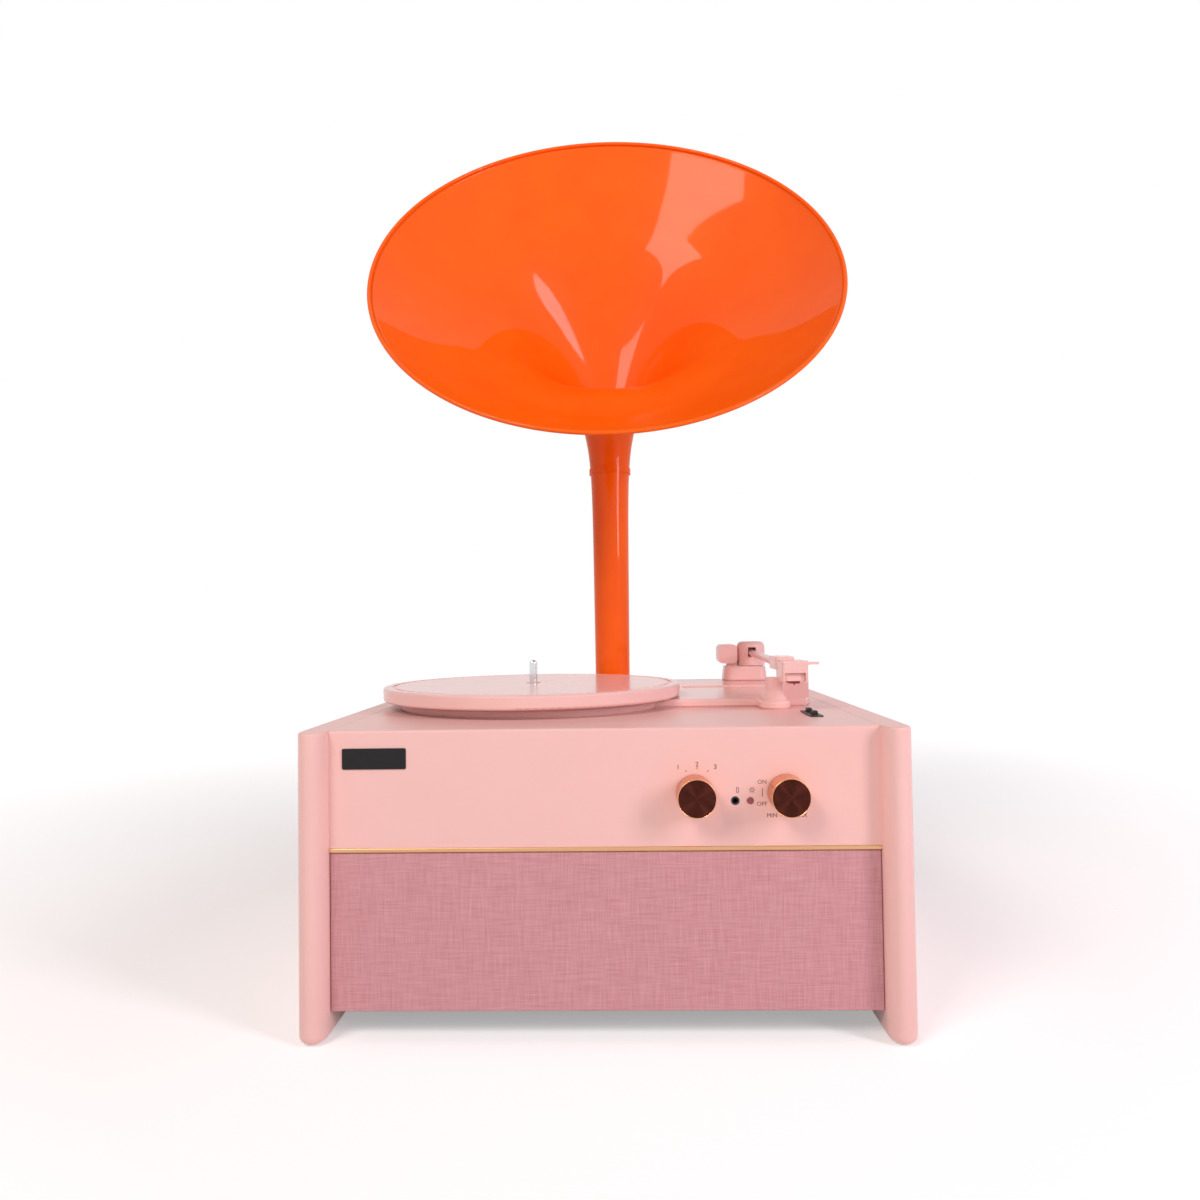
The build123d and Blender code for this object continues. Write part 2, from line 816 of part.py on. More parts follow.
# Arm tower: a moulded foot with a rounded housing beside the turning cap
tower_x = pivot_x - cap_radius / 2
cap_low = tower_top + cap_gap
with BuildPart() as arm_tower:
    with BuildSketch(Plane.XY.offset(plate_top)):
        with Locations((tower_x, pivot_y)):
            RectangleRounded(tower_width, tower_depth, tower_corner)
    with BuildSketch(Plane.XY.offset(tower_top)):
        with Locations((tower_x, pivot_y)):
            RectangleRounded(tower_width - 4, tower_depth - 4, tower_corner - 2)
    loft()
    housing_x = pivot_x - cap_radius - housing_gap - housing_width / 2
    with BuildSketch(facing(pivot_y + housing_depth / 2)):
        with Locations((housing_x, (housing_bottom + housing_top) / 2)):
            RectangleRounded(housing_width, housing_top - housing_bottom, housing_round)
    extrude(amount=housing_depth)
    fillet(arm_tower.faces().sort_by(Axis.Y)[0].edges(), housing_edge)
    with BuildSketch(Plane.XY.offset(tower_top - 1.0)):
        with Locations((housing_x + tower_corner / 2, pivot_y)):
            Rectangle(housing_width - tower_corner, housing_depth - tower_corner)
    extrude(amount=housing_bottom - tower_top + 3.0)
    with BuildSketch(Plane.XY.offset(plate_top)):
        with Locations((pivot_x, pivot_y)):
            Circle(stalk_radius + running)
    extrude(amount=tower_top - plate_top, mode=Mode.SUBTRACT)
save(arm_tower, "arm_tower")

# Pin across the cap that the arm tips on
across = Plane((pivot_x - hub_width / 2, pivot_y, arm_z), x_dir=(0, 1, 0), z_dir=(1, 0, 0))
pin_half = cap_radius - 2.0
with BuildPart() as arm_pin:
    with BuildSketch(Plane((pivot_x - pin_half, pivot_y, arm_z), x_dir=(0, 1, 0), z_dir=(1, 0, 0))):
        Circle(pin_radius)
    extrude(amount=2 * pin_half)
save(arm_pin, "arm_pin")

# Turning cap: a domed yoke with a slot that the arm tips in
slot_wide = hub_width + 2 * slot_gap
slot_low = arm_z - arm_hub_radius - slot_gap
slot_high = arm_z + arm_hub_radius + slot_gap
window_rise = cap_radius * tan(radians(arm_lift)) + slot_gap
window_shift = -cap_radius * (pivot_x - neck_x) / (pivot_y - shell_y)
with BuildPart() as arm_cap:
    with BuildSketch(Plane.XY.offset(cap_low)):
        with Locations((pivot_x, pivot_y)):
            Circle(cap_radius)
    extrude(amount=cap_top - cap_low)
    fillet(arm_cap.faces().sort_by(Axis.Z)[-1].edges(), cap_round)
    with BuildSketch(Plane.XY.offset(roof + 4)):
        with Locations((pivot_x, pivot_y)):
            Circle(stalk_radius)
    extrude(amount=cap_low - roof - 4)
    with BuildSketch(facing(pivot_y + arm_hub_radius + slot_gap)):
        with Locations((pivot_x, (slot_low + slot_high) / 2)):
            Rectangle(slot_wide, slot_high - slot_low)
    extrude(amount=2 * (arm_hub_radius + slot_gap), mode=Mode.SUBTRACT)
    with BuildSketch(facing(pivot_y)):
        with Locations((pivot_x + window_shift, arm_z + window_rise / 2)):
            Rectangle(2 * (arm_radius + 2 * slot_gap), 2 * (arm_radius + slot_gap) + window_rise)
    extrude(amount=cap_radius, mode=Mode.SUBTRACT)
    add(arm_pin.part, mode=Mode.SUBTRACT)
save(arm_cap, "arm_cap")

# Arm: a hub on the pin, a straight tube and a neck that carries the head shell
reach_x = neck_x - pivot_x
reach_y = shell_y + shell_length / 2 + neck_length - pivot_y
with BuildPart() as arm_tube:
    with BuildSketch(across):
        Circle(arm_hub_radius)
    extrude(amount=hub_width)
    tube_line = Line((pivot_x, pivot_y, arm_z), (pivot_x + reach_x, pivot_y + reach_y, arm_z))
    tube_start = Plane(tube_line @ 0, z_dir=tube_line % 0)
    with BuildSketch(tube_start):
        Circle(arm_radius)
    extrude(amount=tube_line.length + 6)
    with BuildSketch(across):
        Circle(pin_radius + running)
    extrude(amount=hub_width, mode=Mode.SUBTRACT)
save(arm_tube, "arm_tube")

shell_back = shell_y + shell_length / 2
neck_low = arm_z - arm_radius - neck_skirt
with BuildPart() as head_shell:
    with BuildSketch(Plane.XY.offset(shell_bottom)):
        with Locations((shell_x, shell_y)):
            RectangleRounded(shell_width, shell_length, 2.0)
    extrude(amount=shell_top - shell_bottom)
    fillet(head_shell.faces().sort_by(Axis.Z)[-1].edges(), 1.5)
    with BuildSketch(Plane.XY.offset(shell_bottom)):
        with Locations((shell_x, shell_y)):
            Rectangle(shell_width - 2 * shell_wall, shell_length - 2 * shell_wall)
    extrude(amount=shell_top - shell_bottom - shell_wall, mode=Mode.SUBTRACT)
    with BuildSketch(Plane.XY.offset(neck_low)):
        with Locations((neck_x, shell_back + neck_length / 2 - 1)):
            RectangleRounded(neck_width, neck_length + 2, 3.0)
    extrude(amount=neck_height)
    with BuildSketch(Plane.XZ.offset(-shell_y)):
        with Locations((shell_x, shell_bottom + shell_window / 2)):
            Rectangle(shell_width - 2 * shell_wall, shell_window)
    extrude(amount=shell_length / 2, mode=Mode.SUBTRACT)
    shell_side = shell_x + shell_width / 2 - 1
    with BuildSketch(Plane.XY.offset(shell_top - 3.5)):
        with BuildLine():
            Polyline(
                (shell_side, shell_y + lift_root / 2),
                (shell_side, shell_y - lift_root / 2),
                (shell_side + lift_length - lift_width / 2, shell_y - lift_width / 2),
                (shell_side + lift_length - lift_width / 2, shell_y + lift_width / 2),
                close=True,
            )
        make_face()
        with Locations((shell_side + lift_length - lift_width / 2, shell_y)):
            Circle(lift_width / 2)
    extrude(amount=2.0)
    add(arm_tube.part, mode=Mode.SUBTRACT)
save(head_shell, "head_shell")

cartridge_gap = 0.3
cartridge_bottom = stylus_tip + 3.5
with BuildPart() as cartridge:
    with BuildSketch(Plane.XY.offset(cartridge_bottom)):
        with Locations((shell_x, shell_y)):
            inside_width = shell_width - 2 * shell_wall - 2 * cartridge_gap
            Rectangle(inside_width, shell_length - 2 * shell_wall - 2 * cartridge_gap)
    extrude(amount=shell_top - shell_wall - cartridge_bottom)
save(cartridge, "cartridge")

with BuildPart() as stylus:
    with BuildSketch(Plane.XY.offset(cartridge_bottom)):
        with Locations((shell_x, shell_y - 2)):
            Rectangle(8, 14)
    extrude(amount=-2.0)
    with BuildSketch(Plane.XY.offset(cartridge_bottom - 2.0)):
        with Locations((shell_x, shell_y - 7)):
            Circle(0.8)
    extrude(amount=-(cartridge_bottom - 2.0 - stylus_tip), taper=20)
save(stylus, "stylus")

# Arm rest: a cradle with one high cheek under the arm, beside a round post on a wide foot
rest_top = arm_z - arm_radius - rest_gap
cradle_width = cradle_right - cradle_left
cradle_middle = (cradle_front + cradle_back) / 2
with BuildPart() as arm_rest:
    with BuildSketch(upright(rest_x, rest_y)):
        with BuildLine():
            Polyline(
                (0, plate_top),
                (rest_foot_radius, plate_top),
                (rest_foot_radius, plate_top + rest_foot_height / 2),
                (rest_radius + 1, plate_top + rest_foot_height),
                (rest_radius, plate_top + 2 * rest_foot_height),
                (rest_radius, post_top),
                (0, post_top),
                close=True,
            )
        make_face()
    revolve(axis=vertical_axis(rest_x, rest_y))
    fillet(arm_rest.faces().sort_by(Axis.Z)[-1].edges(), 1.5)
    with BuildSketch(Plane.XY.offset(plate_top)):
        with Locations((rest_x + rest_radius / 2, (rest_y + cradle_back) / 2)):
            Rectangle(rest_radius, cradle_back - rest_y)
        with Locations(((cradle_left + cradle_right) / 2, cradle_middle)):
            Rectangle(cradle_width, cradle_back - cradle_front)
    extrude(amount=ledge_height)
    with BuildSketch(Plane.XY.offset(plate_top)):
        with Locations(((cradle_left + cradle_right) / 2 + cheek_width / 2, cradle_middle)):
            Rectangle(cradle_width - cheek_width, cradle_back - cradle_front)
    extrude(amount=rest_top - plate_top)
    with BuildSketch(Plane.XY.offset(plate_top)):
        with Locations((cradle_right - cheek_width / 2, cradle_middle)):
            Rectangle(cheek_width, cradle_back - cradle_front)
    extrude(amount=cheek_top - plate_top)
save(arm_rest, "arm_rest")

# Slide switches for the speed and for the stop at the record's end
with BuildPart() as switch_bezel:
    with BuildSketch(Plane.XY.offset(deck)):
        with Locations((switch_x, switch_y)):
            RectangleRounded(bezel_width, bezel_length, 1.5)
            with GridLocations(0, slider_spacing, 1, 2):
                Rectangle(slot_width, slot_length, mode=Mode.SUBTRACT)
    extrude(amount=bezel_height)
save(switch_bezel, "switch_bezel")

for offset, word in [(0.5, "speed"), (-0.5, "autostop")]:
    y = switch_y + offset * slider_spacing
    with BuildPart() as slider:
        with BuildSketch(Plane.XY.offset(roof)):
            with Locations((switch_x, y)):
                Rectangle(slider_width, slider_length)
        extrude(amount=board_thickness + bezel_height + slider_height)
        fillet(slider.faces().sort_by(Axis.Z)[-1].edges(), 0.8)
    save(slider, f"{word}_slider")

with BuildPart() as slide_switches:
    with BuildSketch(Plane.XY.offset(roof - switch_body_height)):
        with Locations((switch_x, switch_y)), GridLocations(0, slider_spacing, 1, 2):
            Rectangle(bezel_width + 4, slider_spacing - 0.5)
    extrude(amount=switch_body_height - running)
save(slide_switches, "slide_switches")


# Horn: at the distance t from the mouth, along the centre line, the inner radius is
# bore + growth * (1 - t / growth_length) + brim * exp(-t / brim_length)
# + funnel * exp(-(t / funnel_length) ** 2).
# The centre line runs straight from the mouth and then turns down. Over the share u of the
# bend its angle follows 3 u^2 - 2 u^3, so that it bends in and out softly.
funnel_width = mouth_radius - bore_radius - tube_growth - brim_width
tilt = radians(horn_tilt)
upright_angle = radians(90)


def horn_radius(t):
    growth = tube_growth * max(1 - t / growth_length, 0)
    brim = brim_width * exp(-t / brim_length)
    return bore_radius + growth + brim + funnel_width * exp(-((t / funnel_length) ** 2))


def horn_slope(t):
    """How much the inner radius falls for each millimetre along the centre line."""
    step = 0.05
    return (horn_radius(t) - horn_radius(t + step)) / step


def bend_angle(share):
    return tilt + (upright_angle - tilt) * (3 - 2 * share) * share * share


def bend_travel(share):
    """The way back and down from the start of the bend, summed over short steps."""
    steps = 60
    angles = [bend_angle(share * (i + 0.5) / steps) for i in range(steps)]
    length = share * bend_length / steps
    return length * sum(cos(angle) for angle in angles), length * sum(sin(angle) for angle in angles)


bend_reach, bend_drop = bend_travel(1.0)
straight_length = (mouth_reach - bend_reach) / cos(tilt)
bend_top = mouth_height - straight_length * sin(tilt)
bend_bottom = bend_top - bend_drop
seam_distance = straight_length + bend_length + bend_bottom - seam_height


def horn_station(t):
    """The plane across the horn at the distance t from its mouth."""
    share = min(max((t - straight_length) / bend_length, 0.0), 1.0)
    reach, drop = bend_travel(share)
    ahead = min(t, straight_length)
    down = max(t - straight_length - bend_length, 0.0)
    y = horn_y - mouth_reach + ahead * cos(tilt) + reach
    z = mouth_height - ahead * sin(tilt) - drop - down
    angle = bend_angle(share)
    return Plane((horn_x, y, z), x_dir=(1, 0, 0), z_dir=(0, cos(angle), -sin(angle)))


def outer_radius(t):
    """The outer wall's radius in the plane across the horn at t."""
    return horn_radius(t) + horn_wall * (1 + horn_slope(t) ** 2) ** 0.5


flare_steps = 10
bend_steps = 16
flare_stops = [straight_length * (i / flare_steps) ** 1.3 for i in range(flare_steps + 1)]
bend_stops = [
    straight_length + (seam_distance - straight_length) * (i / bend_steps) ** 1.2
    for i in range(bend_steps + 1)
]
with BuildPart() as horn_bell:
    # the local x of this plane is the radius and its local y runs back along the centre line
    mouth = horn_station(0.0)
    with BuildSketch(Plane(mouth.origin, x_dir=(1, 0, 0), z_dir=(0, sin(tilt), cos(tilt)))):
        with BuildLine():
            inner_points = [(horn_radius(t), t) for t in flare_stops]
            outer_points = [(outer_radius(t), t) for t in flare_stops]
            Spline(*inner_points)
            Line(inner_points[-1], outer_points[-1])
            Spline(*reversed(outer_points))
            Line(outer_points[0], inner_points[0])
        make_face()
        # a rolled bead closes the edge of the mouth
        with Locations(((inner_points[0][0] + outer_points[0][0]) / 2, 0)):
            Circle(lip_radius)
    revolve(axis=Axis(mouth.origin, mouth.z_dir))
    for t in bend_stops:
        with BuildSketch(horn_station(t)):
            Circle(outer_radius(t))
    loft()
    for t in bend_stops:
        with BuildSketch(horn_station(t)):
            Circle(horn_radius(t))
    loft(mode=Mode.SUBTRACT)
save(horn_bell, "horn_bell")

# Horn tube: widens towards the seam and stands in the socket
tube_low = deck + 4.0
tube_steps = 8
tube_stops = [tube_low + (seam_height - tube_low) * i / tube_steps for i in range(tube_steps + 1)]
tube_outer = [horn_radius(seam_distance + seam_height - z) + horn_wall for z in tube_stops]
with BuildPart() as horn_tube:
    with BuildSketch(upright(horn_x, horn_y)):
        with BuildLine():
            outer_side = [(radius, z) for radius, z in zip(tube_outer, tube_stops)]
            inner_side = [(radius - horn_wall, z) for radius, z in outer_side]
            Spline(*outer_side)
            Line(outer_side[-1], inner_side[-1])
            Spline(*reversed(inner_side))
            Line(inner_side[0], outer_side[0])
        make_face()
    revolve(axis=vertical_axis(horn_x, horn_y))
save(horn_tube, "horn_tube")

# Thin ring over the seam between the tube and the bell
with BuildPart() as horn_ring:
    with BuildSketch(upright(horn_x, horn_y)):
        ring_inner = horn_radius(seam_distance - ring_overlap / 2) + horn_wall + running
        with Locations((ring_inner + 0.5, seam_height)):
            Rectangle(1.0, ring_overlap)
    revolve(axis=vertical_axis(horn_x, horn_y))
save(horn_ring, "horn_ring")

# Socket that the horn stands and turns in
socket_bore = tube_outer[1] + running + 0.1
with BuildPart() as horn_socket:
    with BuildSketch(upright(horn_x, horn_y)):
        with BuildLine():
            Polyline(
                (bore_radius, deck),
                (socket_flange, deck),
                (socket_flange, deck + 3.0),
                (socket_radius, deck + 5.0),
                (socket_radius - 1.0, deck + socket_height),
                (socket_bore, deck + socket_height),
                (socket_bore, tube_low - 0.3),
                (bore_radius, tube_low - 0.3),
                close=True,
            )
        make_face()
    revolve(axis=vertical_axis(horn_x, horn_y))
save(horn_socket, "horn_socket")
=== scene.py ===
import math

import bpy
import numpy as np
from mathutils import Matrix, Vector


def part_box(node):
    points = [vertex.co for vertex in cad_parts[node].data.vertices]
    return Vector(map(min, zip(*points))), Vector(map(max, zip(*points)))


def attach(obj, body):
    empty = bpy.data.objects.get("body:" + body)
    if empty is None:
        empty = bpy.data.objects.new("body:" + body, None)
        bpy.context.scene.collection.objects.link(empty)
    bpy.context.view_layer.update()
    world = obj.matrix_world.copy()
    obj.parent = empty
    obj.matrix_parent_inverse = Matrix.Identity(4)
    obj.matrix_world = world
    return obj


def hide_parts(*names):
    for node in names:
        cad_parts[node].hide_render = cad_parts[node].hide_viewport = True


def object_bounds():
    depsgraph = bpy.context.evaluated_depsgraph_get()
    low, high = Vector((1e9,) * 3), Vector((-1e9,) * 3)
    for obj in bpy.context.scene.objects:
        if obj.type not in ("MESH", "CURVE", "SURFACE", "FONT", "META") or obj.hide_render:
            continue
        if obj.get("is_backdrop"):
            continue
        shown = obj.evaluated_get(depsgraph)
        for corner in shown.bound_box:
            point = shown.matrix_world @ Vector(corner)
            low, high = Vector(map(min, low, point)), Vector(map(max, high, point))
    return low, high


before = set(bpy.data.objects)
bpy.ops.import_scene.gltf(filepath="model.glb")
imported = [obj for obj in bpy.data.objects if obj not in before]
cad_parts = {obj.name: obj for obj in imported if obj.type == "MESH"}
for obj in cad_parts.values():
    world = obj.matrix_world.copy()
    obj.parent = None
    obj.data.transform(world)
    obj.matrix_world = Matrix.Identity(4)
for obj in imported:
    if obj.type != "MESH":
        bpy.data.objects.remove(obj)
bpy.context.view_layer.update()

# The cabinet: side panels with round noses, a top and a front panel. The boards are
# fibreboard, glued up, sanded and sprayed with a satin pink lacquer, which leaves a
# faint orange peel and shows a soft sheen along every rounded edge.


def linear(code):
    """A hex colour as linear light: c / 12.92 up to 0.04045, else ((c + 0.055) / 1.055) to the power 2.4."""
    parts = [int(code[i:i + 2], 16) / 255 for i in (1, 3, 5)]
    return [c / 12.92 if c <= 0.04045 else ((c + 0.055) / 1.055) ** 2.4 for c in parts] + [1.0]


def add(tree, kind, settings=None, **properties):
    """Adds one node. A setting is a value or another node's output, given to the socket of that name."""
    made = tree.nodes.new("ShaderNode" + kind)
    for name, value in properties.items():
        setattr(made, name, value)
    for name, value in (settings or {}).items():
        if isinstance(value, bpy.types.NodeSocket):
            tree.links.new(value, made.inputs[name])
        else:
            made.inputs[name].default_value = value
    return made


def start_material(name):
    """An empty node material and its tree."""
    material = bpy.data.materials.new(name)
    material.use_nodes = True
    material.node_tree.nodes.clear()
    return material, material.node_tree


def dress(material, *names):
    """Gives CAD nodes their finish."""
    for name in names:
        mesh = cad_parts[name].data
        mesh.materials.clear()
        mesh.materials.append(material)


pink_lacquer, tree = start_material("satin_pink_lacquer")
place = add(tree, "TexCoord").outputs["Object"]
# the sprayed film pools and thins over about 60 mm, and its orange peel has a 1.6 mm pitch
film = add(tree, "TexNoise", {"Vector": place, "Scale": 1 / 0.06, "Detail": 3.0})
peel = add(tree, "TexNoise", {"Vector": place, "Scale": 1 / 0.0016, "Detail": 2.0})
film_colour = add(tree, "Mix", {"Factor": film.outputs["Fac"], "A": linear("#f5c6bf"),
                                "B": linear("#f8cbc5")}, data_type="RGBA")
film_sheen = add(tree, "MapRange", {"Value": film.outputs["Fac"], "To Min": 0.30, "To Max": 0.38})
peel_bump = add(tree, "Bump", {"Height": peel.outputs["Fac"], "Strength": 0.05, "Distance": 0.0002})
shader = add(tree, "BsdfPrincipled", {"Base Color": film_colour.outputs["Result"],
                                      "Roughness": film_sheen.outputs["Result"],
                                      "Normal": peel_bump.outputs["Normal"], "IOR": 1.5,
                                      "Specular IOR Level": 0.2})
add(tree, "OutputMaterial", {"Surface": shader.outputs["BSDF"]})
dress(pink_lacquer, "side_panel_left", "side_panel_right", "top_panel", "front_panel", "back_panel")

# Inner boards: raw dark fibreboard, sawn and left unpainted, with a fine mottled fibre.

fibreboard, tree = start_material("raw_fibreboard")
place = add(tree, "TexCoord").outputs["Object"]
# fibres about 1.2 mm long
fibre = add(tree, "TexNoise", {"Vector": place, "Scale": 1 / 0.0012, "Detail": 6.0, "Roughness": 0.7})
fibre_colour = add(tree, "ValToRGB", {"Fac": fibre.outputs["Fac"]})
fibre_colour.color_ramp.elements[0].color = linear("#2c221d")
fibre_colour.color_ramp.elements[1].color = linear("#4a3a31")
fibre_bump = add(tree, "Bump", {"Height": fibre.outputs["Fac"], "Strength": 0.3, "Distance": 0.0003})
shader = add(tree, "BsdfPrincipled", {"Base Color": fibre_colour.outputs["Color"], "Roughness": 0.9,
                                      "Normal": fibre_bump.outputs["Normal"]})
add(tree, "OutputMaterial", {"Surface": shader.outputs["BSDF"]})
dress(fibreboard, "bottom_panel", "grille_board", "speaker_baffle")

# Foot pads: punched wool felt, 1.5 mm, glued under the side panels.

felt, tree = start_material("grey_felt")
place = add(tree, "TexCoord").outputs["Object"]
# matted hairs about 0.5 mm apart
hair = add(tree, "TexNoise", {"Vector": place, "Scale": 1 / 0.0005, "Detail": 5.0, "Distortion": 1.5})
hair_colour = add(tree, "Mix", {"Factor": hair.outputs["Fac"], "A": linear("#3a3535"),
                                "B": linear("#6b6464")}, data_type="RGBA")
hair_bump = add(tree, "Bump", {"Height": hair.outputs["Fac"], "Strength": 0.6, "Distance": 0.0003})
shader = add(tree, "BsdfPrincipled", {"Base Color": hair_colour.outputs["Result"], "Roughness": 1.0,
                                      "Sheen Weight": 0.3, "Normal": hair_bump.outputs["Normal"]})
add(tree, "OutputMaterial", {"Surface": shader.outputs["BSDF"]})
dress(felt, "foot_pads")

# The strip over the cloth: half-round brass, drawn and brushed along its length, lacquered
# against tarnish, so it has long bright streaks.

brushed_brass, tree = start_material("brushed_brass")
place = add(tree, "TexCoord").outputs["Object"]
# brush lines 0.25 mm apart that run 30 mm along the strip
along = add(tree, "Mapping", {"Vector": place, "Scale": (1 / 0.03, 1 / 0.00025, 1 / 0.00025)})
lines = add(tree, "TexNoise", {"Vector": along.outputs["Vector"], "Scale": 1.0, "Detail": 3.0})
line_colour = add(tree, "Mix", {"Factor": lines.outputs["Fac"], "A": linear("#b98a62"),
                                "B": linear("#e3b98c")}, data_type="RGBA")
line_sheen = add(tree, "MapRange", {"Value": lines.outputs["Fac"], "To Min": 0.22, "To Max": 0.42})
shader = add(tree, "BsdfPrincipled", {"Base Color": line_colour.outputs["Result"], "Metallic": 1.0,
                                      "Roughness": line_sheen.outputs["Result"]})
add(tree, "OutputMaterial", {"Surface": shader.outputs["BSDF"]})
dress(brushed_brass, "brass_strip")

# The speaker cloth: plain-weave linen in old rose, stretched over the grille board and
# stapled behind it. Its slubby threads run upright and across.


def surface(name, points, material, body, close_rows=False, close_columns=False):
    """Makes a piece from a grid of points (rows, columns, 3) in metres. Each quad joins
    (i, j), (i, j + 1), (i + 1, j + 1) and (i + 1, j); a closed direction wraps round."""
    rows, columns = points.shape[:2]
    last_row = rows if close_rows else rows - 1
    last_column = columns if close_columns else columns - 1
    i, j = np.meshgrid(np.arange(last_row), np.arange(last_column), indexing="ij")
    below, beside = (i + 1) % rows, (j + 1) % columns
    corners = np.stack([i * columns + j, i * columns + beside, below * columns + beside,
                        below * columns + j], -1).reshape(-1, 4)
    mesh = bpy.data.meshes.new(name)
    mesh.from_pydata(points.reshape(-1, 3).tolist(), [], corners.tolist())
    mesh.polygons.foreach_set("use_smooth", np.ones(len(corners), bool))
    mesh.materials.append(material)
    mesh.update()
    piece = bpy.data.objects.new(name, mesh)
    bpy.context.scene.collection.objects.link(piece)
    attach(piece, body)
    return piece


linen, tree = start_material("old_rose_linen")
place = add(tree, "TexCoord").outputs["Object"]
# threads 0.6 mm apart, each thick and thin over about 20 mm
upright_threads = add(tree, "Mapping", {"Vector": place, "Scale": (1 / 0.0006, 1.0, 1 / 0.02)})
across_threads = add(tree, "Mapping", {"Vector": place, "Scale": (1 / 0.02, 1.0, 1 / 0.0006)})
warp = add(tree, "TexNoise", {"Vector": upright_threads.outputs["Vector"], "Scale": 1.0, "Detail": 2.0})
weft = add(tree, "TexNoise", {"Vector": across_threads.outputs["Vector"], "Scale": 1.0, "Detail": 2.0})
weave = add(tree, "Math", {0: warp.outputs["Fac"], 1: weft.outputs["Fac"]}, operation="ADD")
weave_colour = add(tree, "ValToRGB", {"Fac": add(tree, "MapRange", {
    "Value": weave.outputs["Value"], "From Min": 0.7, "From Max": 1.3}).outputs["Result"]})
weave_colour.color_ramp.elements[0].color = linear("#c5898e")
weave_colour.color_ramp.elements[1].color = linear("#daa3a8")
weave_bump = add(tree, "Bump", {"Height": weave.outputs["Value"], "Strength": 0.3, "Distance": 0.0003})
shader = add(tree, "BsdfPrincipled", {"Base Color": weave_colour.outputs["Color"], "Roughness": 0.95,
                                      "Sheen Weight": 0.25, "Normal": weave_bump.outputs["Normal"]})
add(tree, "OutputMaterial", {"Surface": shader.outputs["BSDF"]})


def cloth_points(low, high, roll):
    """A flat face over (x, z) whose depth falls away towards its edges like a quarter circle:
    depth = roll * (1 - sqrt(1 - (1 - d / roll) ** 2)) where d, the distance to the edge, is below roll."""
    step = np.linspace(0, 1, 9)
    inner = np.linspace(0, 1, 90)[1:-1]
    x = np.concatenate([low.x + roll * step ** 2, low.x + roll + (high.x - low.x - 2 * roll) * inner,
                        high.x - roll * step[::-1] ** 2])
    z = np.concatenate([low.z + roll * step ** 2, low.z + roll + (high.z - low.z - 2 * roll) * inner[::3],
                        high.z - roll * step[::-1] ** 2])
    x, z = np.meshgrid(x, z)
    edge = np.minimum(np.minimum(x - low.x, high.x - x), np.minimum(z - low.z, high.z - z))
    away = np.clip(1 - edge / roll, 0, 1)
    return np.stack([x, low.y + 0.8 * roll * (1 - np.sqrt(1 - away ** 2)), z], -1)


cloth_low, cloth_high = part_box("speaker_cloth")
cloth = surface("stretched_linen", cloth_points(cloth_low, cloth_high, 0.0012), linen, "cabinet")
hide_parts("speaker_cloth")

# Loudspeakers: black pressed-steel baskets, paper cones dipped in lacquer, ferrite magnets.

black_steel, tree = start_material("black_pressed_steel")
place = add(tree, "TexCoord").outputs["Object"]
# powder coat with a 0.8 mm grain
powder = add(tree, "TexNoise", {"Vector": place, "Scale": 1 / 0.0008, "Detail": 2.0})
powder_bump = add(tree, "Bump", {"Height": powder.outputs["Fac"], "Strength": 0.15, "Distance": 0.0002})
shader = add(tree, "BsdfPrincipled", {"Base Color": linear("#1a1a1b"), "Roughness": 0.45,
                                      "Normal": powder_bump.outputs["Normal"]})
add(tree, "OutputMaterial", {"Surface": shader.outputs["BSDF"]})
dress(black_steel, "speaker_frame_left", "speaker_frame_right", "speaker_frame_horn")

cone_paper, tree = start_material("pressed_cone_paper")
place = add(tree, "TexCoord").outputs["Object"]
# pulp clumps of about 2 mm
pulp = add(tree, "TexNoise", {"Vector": place, "Scale": 1 / 0.002, "Detail": 5.0})
pulp_colour = add(tree, "Mix", {"Factor": pulp.outputs["Fac"], "A": linear("#141313"),
                                "B": linear("#2b2929")}, data_type="RGBA")
pulp_bump = add(tree, "Bump", {"Height": pulp.outputs["Fac"], "Strength": 0.3, "Distance": 0.0004})
shader = add(tree, "BsdfPrincipled", {"Base Color": pulp_colour.outputs["Result"], "Roughness": 0.8,
                                      "Normal": pulp_bump.outputs["Normal"]})
add(tree, "OutputMaterial", {"Surface": shader.outputs["BSDF"]})
dress(cone_paper, "speaker_cone_left", "speaker_cone_right", "speaker_cone_horn")

ferrite, tree = start_material("ground_ferrite")
place = add(tree, "TexCoord").outputs["Object"]
# grinding marks 0.6 mm apart
grinding = add(tree, "TexNoise", {"Vector": place, "Scale": 1 / 0.0006, "Detail": 3.0})
grinding_sheen = add(tree, "MapRange", {"Value": grinding.outputs["Fac"], "To Min": 0.45, "To Max": 0.7})
shader = add(tree, "BsdfPrincipled", {"Base Color": linear("#333338"), "Metallic": 0.3,
                                      "Roughness": grinding_sheen.outputs["Result"]})
add(tree, "OutputMaterial", {"Surface": shader.outputs["BSDF"]})
dress(ferrite, "speaker_magnet_left", "speaker_magnet_right", "speaker_magnet_horn", "transformer_core")

# Connectors and switch bodies: moulded black plastic with plated contacts.

black_plastic, tree = start_material("black_moulded_abs")
place = add(tree, "TexCoord").outputs["Object"]
# spark-eroded mould texture with a 0.5 mm grain
grain = add(tree, "TexNoise", {"Vector": place, "Scale": 1 / 0.0005, "Detail": 2.0})
grain_bump = add(tree, "Bump", {"Height": grain.outputs["Fac"], "Strength": 0.2, "Distance": 0.0001})
shader = add(tree, "BsdfPrincipled", {"Base Color": linear("#161617"), "Roughness": 0.4, "IOR": 1.54,
                                      "Normal": grain_bump.outputs["Normal"]})
add(tree, "OutputMaterial", {"Surface": shader.outputs["BSDF"]})
dress(black_plastic, "jack_plate", "power_inlet", "front_jack", "switch_bezel", "speed_slider",
      "autostop_slider", "slide_switches", "board_posts")

nickel_plate, tree = start_material("nickel_plated_steel")
place = add(tree, "TexCoord").outputs["Object"]
